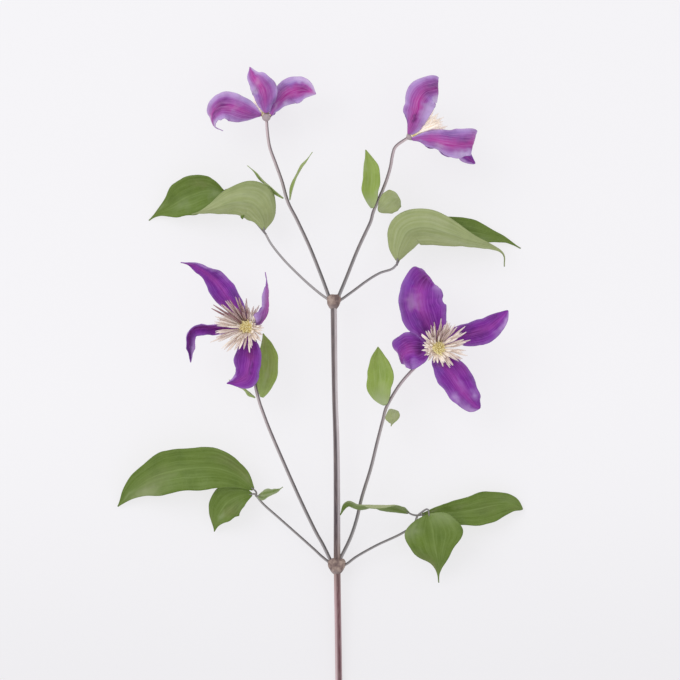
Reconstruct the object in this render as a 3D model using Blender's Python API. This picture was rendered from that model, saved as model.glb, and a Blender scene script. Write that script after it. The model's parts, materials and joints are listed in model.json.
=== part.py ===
"""A cut clematis stem with four open flowers and their leaves, lying on a table.

The tables below are in millimetres: +X to the right of the stem, +Y up the stem and
+Z up from the table. Each blade, a leaflet, bract or tepal, is a thin sheet swept
along its midrib. A midrib row is x, y, z and the blade's roll about the midrib in
degrees. A tepal's rows start at its flower's centre.
"""

import math
import random
from collections import namedtuple

import bmesh
import bpy
from mathutils import Matrix, Quaternion, Vector
from mathutils.bvhtree import BVHTree

MM = 0.001
GAP = 0.3
UP = Vector((0, 0, 1))
DOWN = Vector((0, 0, -1))

# Stems
STEM_SIDES = 8
BRANCH_SIDES = 6
PEDICEL_RADIUS = 0.95
PETIOLE_RADIUS = 0.75
CUT_SLOPE = 0.6
LOWER_NODE = (-0.8, 63.5, 8.5)
UPPER_NODE = (-2.4, 209.0, 17.0)
CUT_HEIGHT = 1.75 * math.cos(math.pi / STEM_SIDES)  # the cut end lies on one of its flat sides
MAIN_STEM = (
    (1.2, -38.0, CUT_HEIGHT, 1.75), (1.2, -24.0, CUT_HEIGHT, 1.75), (1.0, 0.0, 2.6, 1.75),
    (0.2, 30.0, 4.9, 1.75), (-0.8, 63.5, 8.5, 1.7), (-1.4, 100.0, 11.3, 1.5), (-2.0, 150.0, 14.2, 1.4),
    (-2.4, 209.0, 17.0, 1.4),
)

# Blades
BLADE_THICKNESS = 0.6
TIP_HALF_WIDTH = 0.4

# Flower centres
RECEPTACLE_RINGS = ((1.2, -1.6), (2.3, -0.6), (2.3, 1.0))  # radius, height along the axis
TEPAL_ROOT_RADIUS = 3.15
TEPAL_ROOT_HEIGHT = 0.4
STAMEN_DISC_RADIUS = 2.3
STAMEN_DISC_HEIGHT = 1.6
STAMEN_LENGTH = 16.0
STAMEN_CLEARANCE = 1.0
STAMEN_ROWS = ((8, 1.8, 14), (12, 1.8, 32), (14, 1.8, 50))  # count, root radius, lean
CARPEL_RADIUS = 1.0
CARPEL_HEIGHT = 5.5
STYLE_COUNT = 7

Blade = namedtuple("Blade", "midrib half_width widest rise base fold curl ruffle face")
Flower = namedtuple("Flower", "centre axis spread tepals")


def leaf(midrib, half_width, widest=0.36, rise=1.15, fold=(15, 8), curl=(10, 10), ruffle=(0.5, 2, 0), face=UP):
    return Blade(midrib, half_width, widest, rise, 0.6, fold, curl, ruffle, face)


def tepal(midrib, half_width, widest=0.5, rise=1.0, fold=(20, 5), curl=(25, -15), ruffle=(1.0, 3, 0)):
    return Blade(midrib, half_width, widest, rise, 1.2, fold, curl, ruffle, None)


LEAFLETS = {
    "leaf_upper_left_terminal": leaf(
        [(-62.5, 268.5, 14, 0), (-73.2, 269.0, 13, 0), (-83.5, 265.8, 11, 5), (-92.0, 261.3, 8, 10),
         (-99.5, 257.4, 5, 15), (-105.0, 253.4, 2, 20)], 11.5, curl=(20, 20)),
    "leaf_upper_left_lateral": leaf(
        [(-40.6, 247.6, 19, 0), (-41.5, 254.5, 22, 0), (-47.0, 261.5, 26, 0), (-57.4, 262.3, 27, 0),
         (-68.5, 258.9, 24, 0), (-80.5, 256.2, 19, 0)], 12.2, 0.34, face=DOWN),
    "leaf_upper_right_lateral": leaf(
        [(32.6, 230.6, 19.6, 0), (34.0, 238.0, 22, 0), (38.5, 246.5, 26, 0), (47.8, 248.8, 27, 0),
         (58.5, 246.3, 26, 5), (72.1, 241.8, 22, 10), (84.8, 238.3, 16, 20), (91.2, 234.4, 13, 30),
         (92.0, 227.6, 10, 40)], 11.0, 0.27, 0.95, face=DOWN),
    "leaf_upper_right_terminal": leaf(
        [(46.0, 250.0, 13, 10), (56.6, 248.6, 13, 20), (70.2, 246.9, 12, 25), (81.9, 245.0, 9, 25),
         (92.6, 242.4, 5, 15), (101.4, 237.9, 2, 0)], 7.5),
    "leaf_lower_left_terminal": leaf(
        [(-46.8, 104.5, 12, 0), (-56.1, 112.4, 15, 0), (-68.4, 116.3, 17, 0), (-81.6, 116.0, 16, 0),
         (-95.0, 113.7, 14, 0), (-106.5, 109.0, 10, 5), (-115.0, 102.5, 6, 10), (-122.2, 94.6, 1.5, 20)],
        12.6, 0.45, 1.0),
    "leaf_lower_left_side": leaf(
        [(-47.5, 101.8, 11, 0), (-53.5, 101.0, 12, 0), (-60.4, 97.6, 11, 0), (-66.0, 90.3, 8, 0),
         (-68.6, 80.8, 3, 0)], 9.0, 0.42),
    "leaf_lower_left_small": leaf(
        [(-44.0, 100.9, 12, 50), (-40.0, 101.1, 15, 50), (-35.4, 102.5, 18, 50), (-30.3, 106.1, 21, 50)],
        4.2),
    "leaf_lower_right_left": leaf(
        [(39.0, 91.6, 11, 40), (31.4, 95.6, 15, 60), (20.4, 96.0, 18, 75), (11.0, 96.4, 19, 60),
         (5.0, 96.8, 18, 40), (1.2, 90.5, 16, 30)], 6.5, 0.4),
    "leaf_lower_right_side": leaf(
        [(50.0, 91.0, 13, 0), (51.6, 85.3, 15.5, 0), (53.2, 75.4, 15.5, 0), (55.0, 65.0, 11, 0),
         (55.9, 52.5, 3, 0)], 16.0, 0.26, 1.0),
    "leaf_lower_right_terminal": leaf(
        [(46.5, 90.2, 8, 0), (54.8, 91.0, 9, 0), (66.1, 91.8, 10, 0), (76.6, 93.3, 9, 0),
         (87.2, 95.6, 7, 0), (96.6, 95.8, 5, 5), (102.5, 93.1, 2, 10)], 8.8, 0.56),
}

BRACTS = {
    "bract_a_left": leaf(
        [(-29.9, 265.0, 22, 75), (-35.2, 269.5, 23, 80), (-41.3, 275.0, 24, 80), (-45.7, 279.4, 25, 80),
         (-49.7, 282.7, 26, 80)], 3.0),
    "bract_a_right": leaf(
        [(-26.3, 263.9, 22.1, 80), (-25.0, 269.5, 23, 80), (-22.8, 276.1, 24, 80), (-19.0, 282.7, 25, 80),
         (-14.0, 290.1, 26, 80)], 3.0),
    "bract_b_left": leaf(
        [(18.9, 259.5, 22.3, 0), (17.9, 267.8, 24.3, 0), (18.4, 277.8, 24.5, 0), (17.2, 285.5, 23.5, 0),
         (15.2, 291.5, 21.5, 0)], 4.9, 0.45, 1.0),
    "bract_b_right": leaf(
        [(22.2, 257.8, 22.6, 0), (25.6, 260.3, 26.5, 0), (30.0, 263.5, 31, 0), (33.3, 264.8, 35.5, 0)],
        6.0, 0.55, 0.8, face=DOWN),
    "bract_c_left": leaf(
        [(-45.4, 155.5, 23, 75), (-49.5, 159.0, 22, 80), (-54.5, 162.3, 20, 80), (-60.0, 165.0, 17, 80)],
        3.5),
    "bract_c_right": leaf(
        [(-41.8, 155.5, 23, 0), (-40.0, 163.5, 24, 0), (-38.4, 173.0, 24, 0), (-38.9, 182.5, 22, 0),
         (-41.2, 190.6, 20, 0)], 6.0, 0.45, 1.0),
    "bract_d_left": leaf(
        [(26.0, 151.2, 23.3, 0), (23.1, 159.5, 24, 0), (23.1, 167.8, 24, 0), (22.3, 176.0, 22, 0),
         (22.0, 183.2, 19, 0)], 7.2, 0.45, 0.9),
    "bract_d_right": leaf(
        [(28.5, 149.0, 22, 0), (29.5, 146.5, 26, 0), (30.0, 143.0, 31, 0), (29.0, 140.0, 35, 0)],
        4.0, face=DOWN),
}

FLOWERS = {
    "a": Flower((-39.3, 309.0, 27.0), (-0.05, 0.75, -0.66), 0.4, {
        "left": tepal(
            [(-1.4, 0.5, 0, -10), (-6.0, 1.5, 2, -20), (-12.5, 3.6, 4, -40), (-19.0, 5.8, 6, -45),
             (-25.0, 5.4, 5, -45), (-29.5, 1.5, 1, -45), (-29.2, -4.0, -4, -45), (-24.0, -7.0, -7, -45)],
            7.8, 0.37),
        "near": tepal(
            [(0, 0, 0, 0), (-0.3, 7.0, 5, 0), (-0.8, 13.5, 8, 0), (-3.5, 18.5, 10, 0),
             (-7.0, 22.5, 9, 0), (-8.9, 27.2, 5, 0)], 6.6, 0.43, 0.9),
        "right": tepal(
            [(2.8, 2.8, -1, 20), (7.2, 9.8, -2, 40), (13.0, 14.6, -1, 50), (20.5, 15.6, 1, 50),
             (27.2, 12.8, 2, 50)], 7.6, 0.58, 1.5),
        "far": tepal(
            [(0, 1.0, -3, 0), (0.5, 1.5, -11, 0), (1.5, 6.0, -18, 0), (2.0, 13.0, -22, 0),
             (1.0, 19.5, -24, 0)], 6.0),
    }),
    "b": Flower((39.6, 298.7, 27.0), (0.80, 0.50, 0.33), 0.45, {
        "lower_near": tepal(
            [(0.5, -2.1, 2, 20), (6.0, -2.2, 6, 40), (13.0, -2.8, 10, 50), (21.5, -4.8, 12, 50),
             (28.5, -4.8, 12, 50), (33.5, -4.5, 9, 50), (34.0, -4.5, 4, 50), (29.5, -5.0, 1, 50)],
            8.0, 0.62, 1.0, ruffle=(1.4, 3, 0.3)),
        "upper_near": tepal(
            [(-1.5, 1.4, 2, -20), (0.2, 6.0, 8, -40), (2.8, 12.5, 13.5, -50), (4.6, 19.0, 16, -50),
             (8.2, 23.6, 16, -55), (13.5, 25.4, 12, -70), (15.0, 25.6, 7, -83), (11.0, 25.6, 3, -83)],
            8.8, 0.55, 0.65, ruffle=(1.4, 3, 0)),
        "upper_far": tepal(
            [(-0.5, 2.1, -2, 0), (1.5, 8.0, -6, 0), (2.5, 15.0, -9, 0), (3.5, 22.0, -10, 0),
             (2.0, 29.0, -9, 0)], 7.0, 0.6, 0.8),
        "lower_far": tepal(
            [(1.7, -1.4, -2, 0), (8.0, -3.5, -6, 0), (17.0, -6.0, -8, 0), (27.0, -8.5, -9, 0),
             (36.0, -14.5, -10, 0)], 7.5, 0.55, 0.9),
    }),
    "c": Flower((-48.6, 193.2, 30.0), (-0.35, 0.30, 0.88), 1.0, {
        "upper": tepal(
            [(-3.0, 5.5, -1, 0), (-7.4, 11.9, -2, 0), (-13.2, 19.5, -4, 0), (-18.3, 26.2, -5, 10),
             (-25.0, 32.0, -3, 25), (-31.9, 35.3, 0, 40), (-37.3, 36.2, 3, 50)], 6.6, 0.42),
        "right": tepal(
            [(3.5, 1.1, 0, 60), (7.0, 3.0, 3, 60), (10.4, 8.5, 7, 60), (11.0, 15.5, 12, 60),
             (10.4, 23.0, 15, 60), (9.2, 30.6, 17, 60)], 7.5, 0.34, fold=(30, 20), curl=(30, 10)),
        "left": tepal(
            [(-4.4, 1.0, -2, 0), (-12.0, -0.8, -2, 0), (-20.0, 0.6, 1, 20), (-28.0, 1.2, 3, 35),
             (-32.6, -2.0, 2, 45), (-32.9, -9.5, -3, 45), (-32.4, -18.4, -8, 45)], 5.2,
            fold=(40, 50), curl=(20, 20)),
        "lower": tepal(
            [(-0.3, -4.6, 0, 0), (0.2, -12.4, 3, 0), (0, -20.0, 4, 0), (-2.0, -26.0, 2, 0),
             (-7.0, -28.9, -2, 0), (-12.4, -30.0, -5, 0)], 8.0, 0.42, 0.9),
    }),
    "d": Flower((53.9, 182.6, 30.0), (0.42, 0.22, 0.88), 1.0, {
        "upper": tepal(
            [(-1.5, 4.4, -1, 0), (-4.8, 13.0, 1, 0), (-8.2, 21.5, 2, 0), (-8.6, 30.0, 2, 0),
             (-6.5, 36.8, -1, 0), (-3.5, 38.0, -6, 0), (-0.5, 34.0, -9, 0)], 12.8, 0.45, 0.55),
        "left": tepal(
            [(-4.4, 0.6, -1, 0), (-9.5, -1.0, 0, 0), (-14.5, -1.5, -2, 0), (-18.0, -4.0, -6, 0),
             (-19.0, -8.5, -12, 0)], 10.5, 0.45, 0.8),
        "right": tepal(
            [(5.0, 3.0, -1, 0), (11.4, 6.5, -1, 0), (20.5, 8.1, 1, 0), (28.8, 11.0, 3, 0),
             (35.2, 16.2, 5, 0), (39.0, 20.5, 6, 0)], 6.8, 0.52, 0.9, ruffle=(1.6, 3, 0.3)),
        "lower": tepal(
            [(1.5, -4.0, 0, 0), (5.0, -10.5, 2, 0), (10.5, -18.0, 3, 0), (16.0, -25.5, 3, 0),
             (20.3, -30.5, 0, 0), (24.0, -33.0, -4, 0)], 8.8, 0.42, 0.5),
    }),
}

BRANCHES = {
    "pedicel_a": [(-2.9, 209.5, 17), (-9.0, 221.7, 18), (-15.4, 237.7, 19.5), (-22.3, 252.5, 21),
                  (-27.6, 263.0, 22), (-30.8, 274.2, 23), (-34.3, 284.0, 24), (-37.4, 292.6, 25.5),
                  (-38.7, 300.9, 26.5)],
    "pedicel_b": [(-1.9, 209.5, 17), (3.9, 219.5, 18), (10.4, 235.7, 19.5), (14.8, 245.3, 20.5),
                  (18.0, 252.2, 21), (19.8, 258.5, 21.5), (25.5, 271.7, 22.5), (28.6, 281.2, 23.5),
                  (30.0, 288.8, 24.5), (32.0, 293.5, 25.5)],
    "petiole_a": [(-3.4, 209.2, 16.5), (-14.3, 216.2, 16), (-20.4, 221.7, 16), (-29.4, 230.7, 16.5),
                  (-36.4, 239.3, 17), (-40.0, 245.6, 17.5)],
    "petiole_b": [(-1.4, 209.2, 16.5), (7.7, 215.0, 16), (16.5, 220.0, 16), (23.1, 223.9, 16.5),
                  (29.5, 226.0, 17.5), (32.4, 228.6, 18.5)],
    "pedicel_c": [(-1.6, 64.0, 8), (-20.9, 99.0, 14), (-29.9, 119.4, 17), (-37.6, 137.5, 20),
                  (-41.3, 147.4, 22), (-43.5, 154.0, 23), (-46.0, 165.0, 24), (-48.0, 178.0, 25),
                  (-48.8, 188.0, 26.0)],
    "petiole_c": [(-1.8, 63.5, 8), (-11.6, 71.0, 8), (-20.9, 78.1, 8.5), (-32.7, 88.6, 9.5),
                  (-41.0, 96.0, 10.5), (-45.2, 101.0, 11)],
    "pedicel_d": [(0.2, 64.0, 8), (6.6, 77.0, 10), (10.3, 88.0, 12), (13.2, 100.4, 14), (18.0, 116.0, 16.5),
                  (21.4, 130.0, 19), (24.7, 143.0, 21.5), (26.8, 150.5, 22.5), (33.8, 162.2, 21.5),
                  (41.5, 171.0, 20.0), (49.0, 178.0, 21.5), (53.0, 182.0, 26.0)],
    "petiole_d": [(0.4, 63.5, 8), (4.0, 65.2, 7.5), (9.7, 68.4, 7.5), (21.4, 74.5, 8), (34.5, 79.6, 9),
                  (41.5, 84.5, 9.5), (44.0, 90.0, 10)],
}

LEAFLET_PETIOLES = {
    name: {"upper_left": "petiole_a", "upper_right": "petiole_b", "lower_left": "petiole_c",
           "lower_right": "petiole_d"}["_".join(name.split("_")[1:3])]
    for name in LEAFLETS
}
TABLE_LEAFLETS = ("leaf_upper_left_terminal", "leaf_upper_right_terminal")


def clear_scene():
    for obj in list(bpy.data.objects):
        bpy.data.objects.remove(obj)


def material(name, colour, roughness):
    made = bpy.data.materials.new(name)
    made.use_nodes = True
    shader = made.node_tree.nodes["Principled BSDF"]
    shader.inputs["Base Color"].default_value = (*colour, 1.0)
    shader.inputs["Roughness"].default_value = roughness
    made.diffuse_color = (*colour, 1.0)
    return made


def smooth_route(rows, steps):
    """Points at even distances along a Catmull-Rom curve through the rows."""
    rows = [Vector(row) for row in rows]
    rows = [2 * rows[0] - rows[1], *rows, 2 * rows[-1] - rows[-2]]
    fine = []
    for a, b, c, d in zip(rows, rows[1:], rows[2:], rows[3:]):
        for k in range(24):
            t = k / 24
            fine.append(0.5 * (2 * b + (c - a) * t + (2 * a - 5 * b + 4 * c - d) * t**2
                               + (3 * b - a - 3 * c + d) * t**3))
    fine.append(rows[-2])
    along = [0.0]
    for a, b in zip(fine, fine[1:]):
        along.append(along[-1] + (b.xyz - a.xyz).length)
    points, k = [], 0
    for step in range(steps + 1):
        goal = along[-1] * step / steps
        while k < len(fine) - 2 and along[k + 1] < goal:
            k += 1
        share = (goal - along[k]) / (along[k + 1] - along[k])
        points.append(fine[k].lerp(fine[k + 1], share))
    return points


def route_frames(rows, steps, face):
    """Point, side, normal and fourth column at each step; the first normal leans to the face."""
    rows = smooth_route(rows, steps)
    ends = [rows[0], *rows, rows[-1]]
    tangents = [(b.xyz - a.xyz).normalized() for a, b in zip(ends, ends[2:])]
    side = tangents[0].cross(face).normalized()
    frames = []
    for before, tangent, row in zip([tangents[0], *tangents], tangents, rows):
        side = before.rotation_difference(tangent) @ side
        frames.append((row.xyz, side, side.cross(tangent), row.w))
    return frames


def half_width(blade, u):
    """The outline: widest part way along, pointed at the tip and a little wide at the root."""
    fall = blade.rise * (1 - blade.widest) / blade.widest
    peak = blade.widest**blade.rise * (1 - blade.widest) ** fall
    swell = blade.half_width * u**blade.rise * (1 - u) ** fall / peak
    return TIP_HALF_WIDTH + blade.base * (1 - u) ** 4 + swell


def blade_point(blade, frame, u, v):
    """A point of the sheet, u of the way along the midrib and v of the way to an edge."""
    point, side, normal, roll = frame
    turn = Quaternion(side.cross(normal), math.radians(roll))
    side, normal = turn @ side, turn @ normal
    fold, curl = (math.radians(a + (b - a) * u + 0.01) for a, b in (blade.fold, blade.curl))
    bent = fold + curl * abs(v)
    width = half_width(blade, u)
    out = width * (math.sin(bent) - math.sin(fold)) / curl
    lift = width * (math.cos(fold) - math.cos(bent)) / curl
    height, waves, phase = blade.ruffle
    lift += height * v * v * math.sin(math.tau * (waves * u + phase) + v) * math.sin(math.pi * u)
    return point + side * math.copysign(out, v) + normal * lift


def add_object(name, bm, surface):
    for vert in bm.verts:
        vert.co *= MM
    mesh = bpy.data.meshes.new(name)
    bmesh.ops.recalc_face_normals(bm, faces=bm.faces)
    bm.to_mesh(mesh)
    bm.free()
    mesh.materials.append(surface)
    obj = bpy.data.objects.new(name, mesh)
    bpy.context.scene.collection.objects.link(obj)
    return obj


def apply_modifiers(obj):
    depsgraph = bpy.context.evaluated_depsgraph_get()
    obj.data = bpy.data.meshes.new_from_object(obj.evaluated_get(depsgraph))
    obj.modifiers.clear()


def add_blade(name, blade, surface, along, across, touches_table=False):
    frames = route_frames(blade.midrib, along, blade.face)
    bm = bmesh.new()
    bmesh.ops.create_grid(bm, x_segments=along, y_segments=across, size=1.0)
    for vert in bm.verts:
        u, v = (vert.co.x + 1) / 2, vert.co.y
        vert.co = blade_point(blade, frames[round(u * along)], u, v)
    bmesh.ops.triangulate(bm, faces=bm.faces)
    obj = add_object(name, bm, surface)
    thickness = obj.modifiers.new("thickness", "SOLIDIFY")
    thickness.thickness = BLADE_THICKNESS * MM
    thickness.offset = 0
    apply_modifiers(obj)
    if touches_table:
        set_down(obj, frames[0][0] * MM)
    return obj


def set_down(obj, root):
    """Bend a blade from its root until its lowest point is on the table."""
    lowest = min((vert.co for vert in obj.data.vertices), key=lambda co: co.z).copy()
    for vert in obj.data.vertices:
        share = min(1.0, (vert.co.xy - root.xy).length / (lowest.xy - root.xy).length)
        vert.co.z -= lowest.z * share**2


def bridge_rings(bm, rings):
    """Join rings of points into a closed tube."""
    rings = [[bm.verts.new(co) for co in ring] for ring in rings]
    count = len(rings[0])
    for low, high in zip(rings, rings[1:]):
        for k in range(count):
            bm.faces.new((low[k], low[(k + 1) % count], high[(k + 1) % count], high[k]))
    bm.faces.new(rings[0][::-1])
    bm.faces.new(rings[-1])


def add_tube(bm, rows, sides, steps, cut_slope=0.0):
    """A tube along rows of x, y, z and radius, with a flat side below."""
    rings = []
    for k, (point, side, normal, radius) in enumerate(route_frames(rows, steps, UP)):
        turns = [math.tau * (j + 0.5) / sides for j in range(sides)]
        ring = [point + (side * math.cos(t) + normal * math.sin(t)) * radius for t in turns]
        if k == 0:
            ring = [co + normal.cross(side) * cut_slope * (co - point).dot(normal) for co in ring]
        rings.append(ring)
    bridge_rings(bm, rings)


def add_swelling(bm, centre, radii):
    """An egg-shaped node of the stem."""
    matrix = Matrix.LocRotScale(centre, None, Vector(radii))
    bmesh.ops.create_icosphere(bm, subdivisions=2, radius=1.0, matrix=matrix)


def join_parts(name, parts, surface):
    """One closed body made from several overlapping ones."""
    group = bpy.data.collections.new(name + "_parts")
    for k, bm in enumerate(parts[1:]):
        piece = add_object(f"{name}_part_{k}", bm, surface)
        bpy.context.scene.collection.objects.unlink(piece)
        group.objects.link(piece)
    body = add_object(name, parts[0], surface)
    union = body.modifiers.new("union", "BOOLEAN")
    union.operation = "UNION"
    union.operand_type = "COLLECTION"
    union.collection = group
    union.solver = "MANIFOLD"
    apply_modifiers(body)
    for piece in list(group.objects):
        bpy.data.objects.remove(piece)
    bpy.data.collections.remove(group)
    return body


def tapered(rows, start, end):
    """Rows with a radius column that narrows evenly from the first to the last."""
    return [(*row, start + (end - start) * k / (len(rows) - 1)) for k, row in enumerate(rows)]


def flower_turn(flower):
    return UP.rotation_difference(Vector(flower.axis))


def add_stem(surface):
    parts = []

    def tube(rows, sides, steps, cut_slope=0.0):
        parts.append(bmesh.new())
        add_tube(parts[-1], rows, sides, steps, cut_slope)

    tube(MAIN_STEM, STEM_SIDES, 30, CUT_SLOPE)
    for vert in parts[0].verts:
        vert.co.z = 0 if vert.co.z < 0.1 else vert.co.z  # the cut end lies flat on the table
    for node, radii in ((LOWER_NODE, (4.2, 3.7, 3.4)), (UPPER_NODE, (3.5, 3.0, 2.7))):
        parts.append(bmesh.new())
        add_swelling(parts[-1], node, radii)
    for name, rows in BRANCHES.items():
        if name.startswith("pedicel"):
            flower = FLOWERS[name[-1]]
            rows = rows + [tuple(flower.centre)]
            tube(tapered(rows, PEDICEL_RADIUS, PEDICEL_RADIUS), BRANCH_SIDES, 14)
            parts.append(bmesh.new())
            top = flower_turn(flower)
            centre = Vector(flower.centre)
            rings = []
            for radius, height in RECEPTACLE_RINGS:
                turns = [math.tau * j / 10 for j in range(10)]
                rings.append([centre + top @ Vector((radius * math.cos(t), radius * math.sin(t), height))
                              for t in turns])
            bridge_rings(parts[-1], rings)
        else:
            tube(tapered(rows, PETIOLE_RADIUS * 1.15, PETIOLE_RADIUS), BRANCH_SIDES, 10)
    for name, blade in LEAFLETS.items():
        joint = Vector(BRANCHES[LEAFLET_PETIOLES[name]][-1])
        base, after = (Vector(row[:3]) for row in blade.midrib[:2])
        back = (base - after).normalized()
        bend = base + back * min(3.0, (base - joint).length / 2)
        rows = [joint + (joint - bend).normalized() * 0.5, bend, base + back * (GAP + 0.1)]
        tube(tapered([tuple(row) for row in rows], 0.65, 0.5), BRANCH_SIDES, 5)
    return join_parts("stem", parts, surface)


def stamen_rows(root, turn, lean, length, low):
    """Three rows of x, y, z and radius, for a stamen that leans out more towards its tip."""
    rows = []
    for j in range(3):
        bend = lean * (0.55 + 0.45 * j / 2)
        reach = root + length * j / 2 * math.sin(bend)
        height = low + 0.5 + length * j / 2 * math.cos(bend)
        rows.append((reach * math.cos(turn), reach * math.sin(turn), height, 0.5 if j < 2 else 0.42))
    return rows


def is_clear(rows, matrix, tepals):
    """Whether a stamen keeps its distance from the tepals."""
    for k in range(1, 11):
        a, b = (rows[0], rows[1]) if k <= 5 else (rows[1], rows[2])
        share = (k if k <= 5 else k - 5) / 5
        point = matrix @ Vector(a[:3]).lerp(Vector(b[:3]), share)
        if tepals.find_nearest(point * MM)[3] < STAMEN_CLEARANCE * MM:
            return False
    return True


def add_stamens(key, flower, tepals, surface):
    """A disc of fine three-sided stamens, leaning outwards in three rows, bent clear of the tepals."""
    rng = random.Random("stamens " + key)
    matrix = Matrix.Translation(Vector(flower.centre)) @ flower_turn(flower).to_matrix().to_4x4()
    low = RECEPTACLE_RINGS[-1][1] + GAP
    parts = [bmesh.new()]
    bmesh.ops.create_cone(parts[0], cap_ends=True, segments=12, radius1=STAMEN_DISC_RADIUS,
                          radius2=STAMEN_DISC_RADIUS, depth=STAMEN_DISC_HEIGHT,
                          matrix=Matrix.Translation((0, 0, low + STAMEN_DISC_HEIGHT / 2)))
    for count, root, lean in STAMEN_ROWS:
        for k in range(count):
            turn = math.tau * (k + rng.uniform(-0.25, 0.25)) / count + lean
            lean_now = math.radians(max(14, lean * flower.spread) + rng.uniform(-3, 4))
            length = STAMEN_LENGTH * rng.uniform(0.85, 1.05)
            rows = stamen_rows(root, turn, lean_now, length, low)
            while lean_now > 0.2 and not is_clear(rows, matrix, tepals):
                lean_now -= math.radians(3)
                rows = stamen_rows(root, turn, lean_now, length, low)
            parts.append(bmesh.new())
            add_tube(parts[-1], rows, 3, 2)
    body = join_parts(f"flower_{key}_stamens", parts, surface)
    return place_on_flower(body, flower)


def add_carpels(key, flower, surface):
    """The core of the flower: a narrow cone topped by fine styles."""
    low = RECEPTACLE_RINGS[-1][1] + GAP + STAMEN_DISC_HEIGHT + GAP
    parts = [bmesh.new()]
    bmesh.ops.create_cone(parts[0], cap_ends=True, segments=8, radius1=CARPEL_RADIUS, radius2=0.7,
                          depth=CARPEL_HEIGHT, matrix=Matrix.Translation((0, 0, low + CARPEL_HEIGHT / 2)))
    for k in range(STYLE_COUNT):
        turn = math.tau * k / STYLE_COUNT
        rows = [(0.45 * math.cos(turn), 0.45 * math.sin(turn), low + CARPEL_HEIGHT - 0.6, 0.4),
                (1.1 * math.cos(turn), 1.1 * math.sin(turn), low + CARPEL_HEIGHT + 2.2, 0.35)]
        parts.append(bmesh.new())
        add_tube(parts[-1], rows, 3, 1)
    body = join_parts(f"flower_{key}_carpels", parts, surface)
    return place_on_flower(body, flower)


def place_on_flower(obj, flower):
    matrix = Matrix.Translation(Vector(flower.centre) * MM) @ flower_turn(flower).to_matrix().to_4x4()
    obj.data.transform(matrix)
    return obj


def tepal_blade(flower, blade):
    """The tepal moved onto its flower, rooted beside the receptacle."""
    axis = Vector(flower.axis).normalized()
    heading = Vector(blade.midrib[1][:3])
    heading = (heading - axis * heading.dot(axis)).normalized()
    root = heading * TEPAL_ROOT_RADIUS + axis * TEPAL_ROOT_HEIGHT
    rows = [(*root, blade.midrib[0][3])] + [tuple(row) for row in blade.midrib[1:]]
    rows = [(*(Vector(row[:3]) + Vector(flower.centre)), row[3]) for row in rows]
    return blade._replace(midrib=rows, face=axis - heading)


def main():
    clear_scene()
    bark = material("stem_bark", (0.20, 0.10, 0.07), 0.6)
    leaf_green = material("leaf_green", (0.16, 0.27, 0.05), 0.5)
    bract_green = material("bract_green", (0.26, 0.38, 0.08), 0.5)
    violet = material("tepal_violet", (0.20, 0.03, 0.32), 0.55)
    cream = material("stamen_cream", (0.78, 0.70, 0.42), 0.6)
    style_green = material("carpel_green", (0.45, 0.46, 0.14), 0.6)

    objects = [add_stem(bark)]
    for name, blade in LEAFLETS.items():
        objects.append(add_blade(name, blade, leaf_green, 12, 4, name in TABLE_LEAFLETS))
    for name, blade in BRACTS.items():
        objects.append(add_blade(name, blade, bract_green, 8, 2))
    for key, flower in FLOWERS.items():
        verts, faces = [], []
        for where, blade in flower.tepals.items():
            placed = add_blade(f"flower_{key}_tepal_{where}", tepal_blade(flower, blade), violet, 14, 4)
            faces += [[k + len(verts) for k in face.vertices] for face in placed.data.polygons]
            verts += [vert.co for vert in placed.data.vertices]
            objects.append(placed)
        tepals = BVHTree.FromPolygons(verts, faces)
        objects.append(add_stamens(key, flower, tepals, cream))
        objects.append(add_carpels(key, flower, style_green))

    corners = [vert.co for obj in objects for vert in obj.data.vertices]
    low = Vector(min(co[k] for co in corners) for k in range(3))
    high = Vector(max(co[k] for co in corners) for k in range(3))
    shift = Vector((-(low.x + high.x) / 2, -(low.y + high.y) / 2, -low.z))
    for obj in objects:
        obj.data.transform(Matrix.Translation(shift))


main()
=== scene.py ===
"""A cut clematis stem with four violet flowers and their leaves, lying on a pale table.

The tables are in millimetres: +X to the right of the stem, +Y up the stem, +Z up from the
table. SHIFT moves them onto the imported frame. A Blade is a leaflet, bract or tepal swept along its
midrib, whose rows are x, y, z and the blade's roll in degrees. A tepal's rows start at its flower's
centre.
"""

import json
import math
import random
from collections import namedtuple

import bmesh
import bpy
from bpy.props import FloatProperty, FloatVectorProperty, IntProperty, PointerProperty
from mathutils import Matrix, Quaternion, Vector, noise
from mathutils.bvhtree import BVHTree

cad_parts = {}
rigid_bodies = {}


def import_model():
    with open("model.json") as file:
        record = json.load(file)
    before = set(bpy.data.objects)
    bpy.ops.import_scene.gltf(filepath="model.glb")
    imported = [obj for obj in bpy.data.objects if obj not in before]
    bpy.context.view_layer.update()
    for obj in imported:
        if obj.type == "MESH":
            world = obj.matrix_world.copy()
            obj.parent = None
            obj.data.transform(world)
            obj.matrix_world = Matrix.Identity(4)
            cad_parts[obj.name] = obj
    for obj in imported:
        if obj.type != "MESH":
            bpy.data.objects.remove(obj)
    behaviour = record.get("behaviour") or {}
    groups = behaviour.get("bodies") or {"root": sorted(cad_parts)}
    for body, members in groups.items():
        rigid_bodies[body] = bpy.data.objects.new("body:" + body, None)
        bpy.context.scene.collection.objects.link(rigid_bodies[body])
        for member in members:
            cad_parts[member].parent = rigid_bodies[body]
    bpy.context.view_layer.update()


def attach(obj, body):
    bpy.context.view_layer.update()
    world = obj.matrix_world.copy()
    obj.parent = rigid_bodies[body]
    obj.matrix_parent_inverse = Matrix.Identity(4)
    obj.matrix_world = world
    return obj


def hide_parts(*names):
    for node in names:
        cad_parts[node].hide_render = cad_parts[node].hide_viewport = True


bl_info = {
    "name": "Clematis stem",
    "version": (1, 0, 0),
    "blender": (4, 5, 0),
    "location": "3D View > Sidebar > Clematis",
    "description": "Leaves, flowers and stems of a cut clematis over its packed frame",
    "category": "Add Mesh",
}

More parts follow.
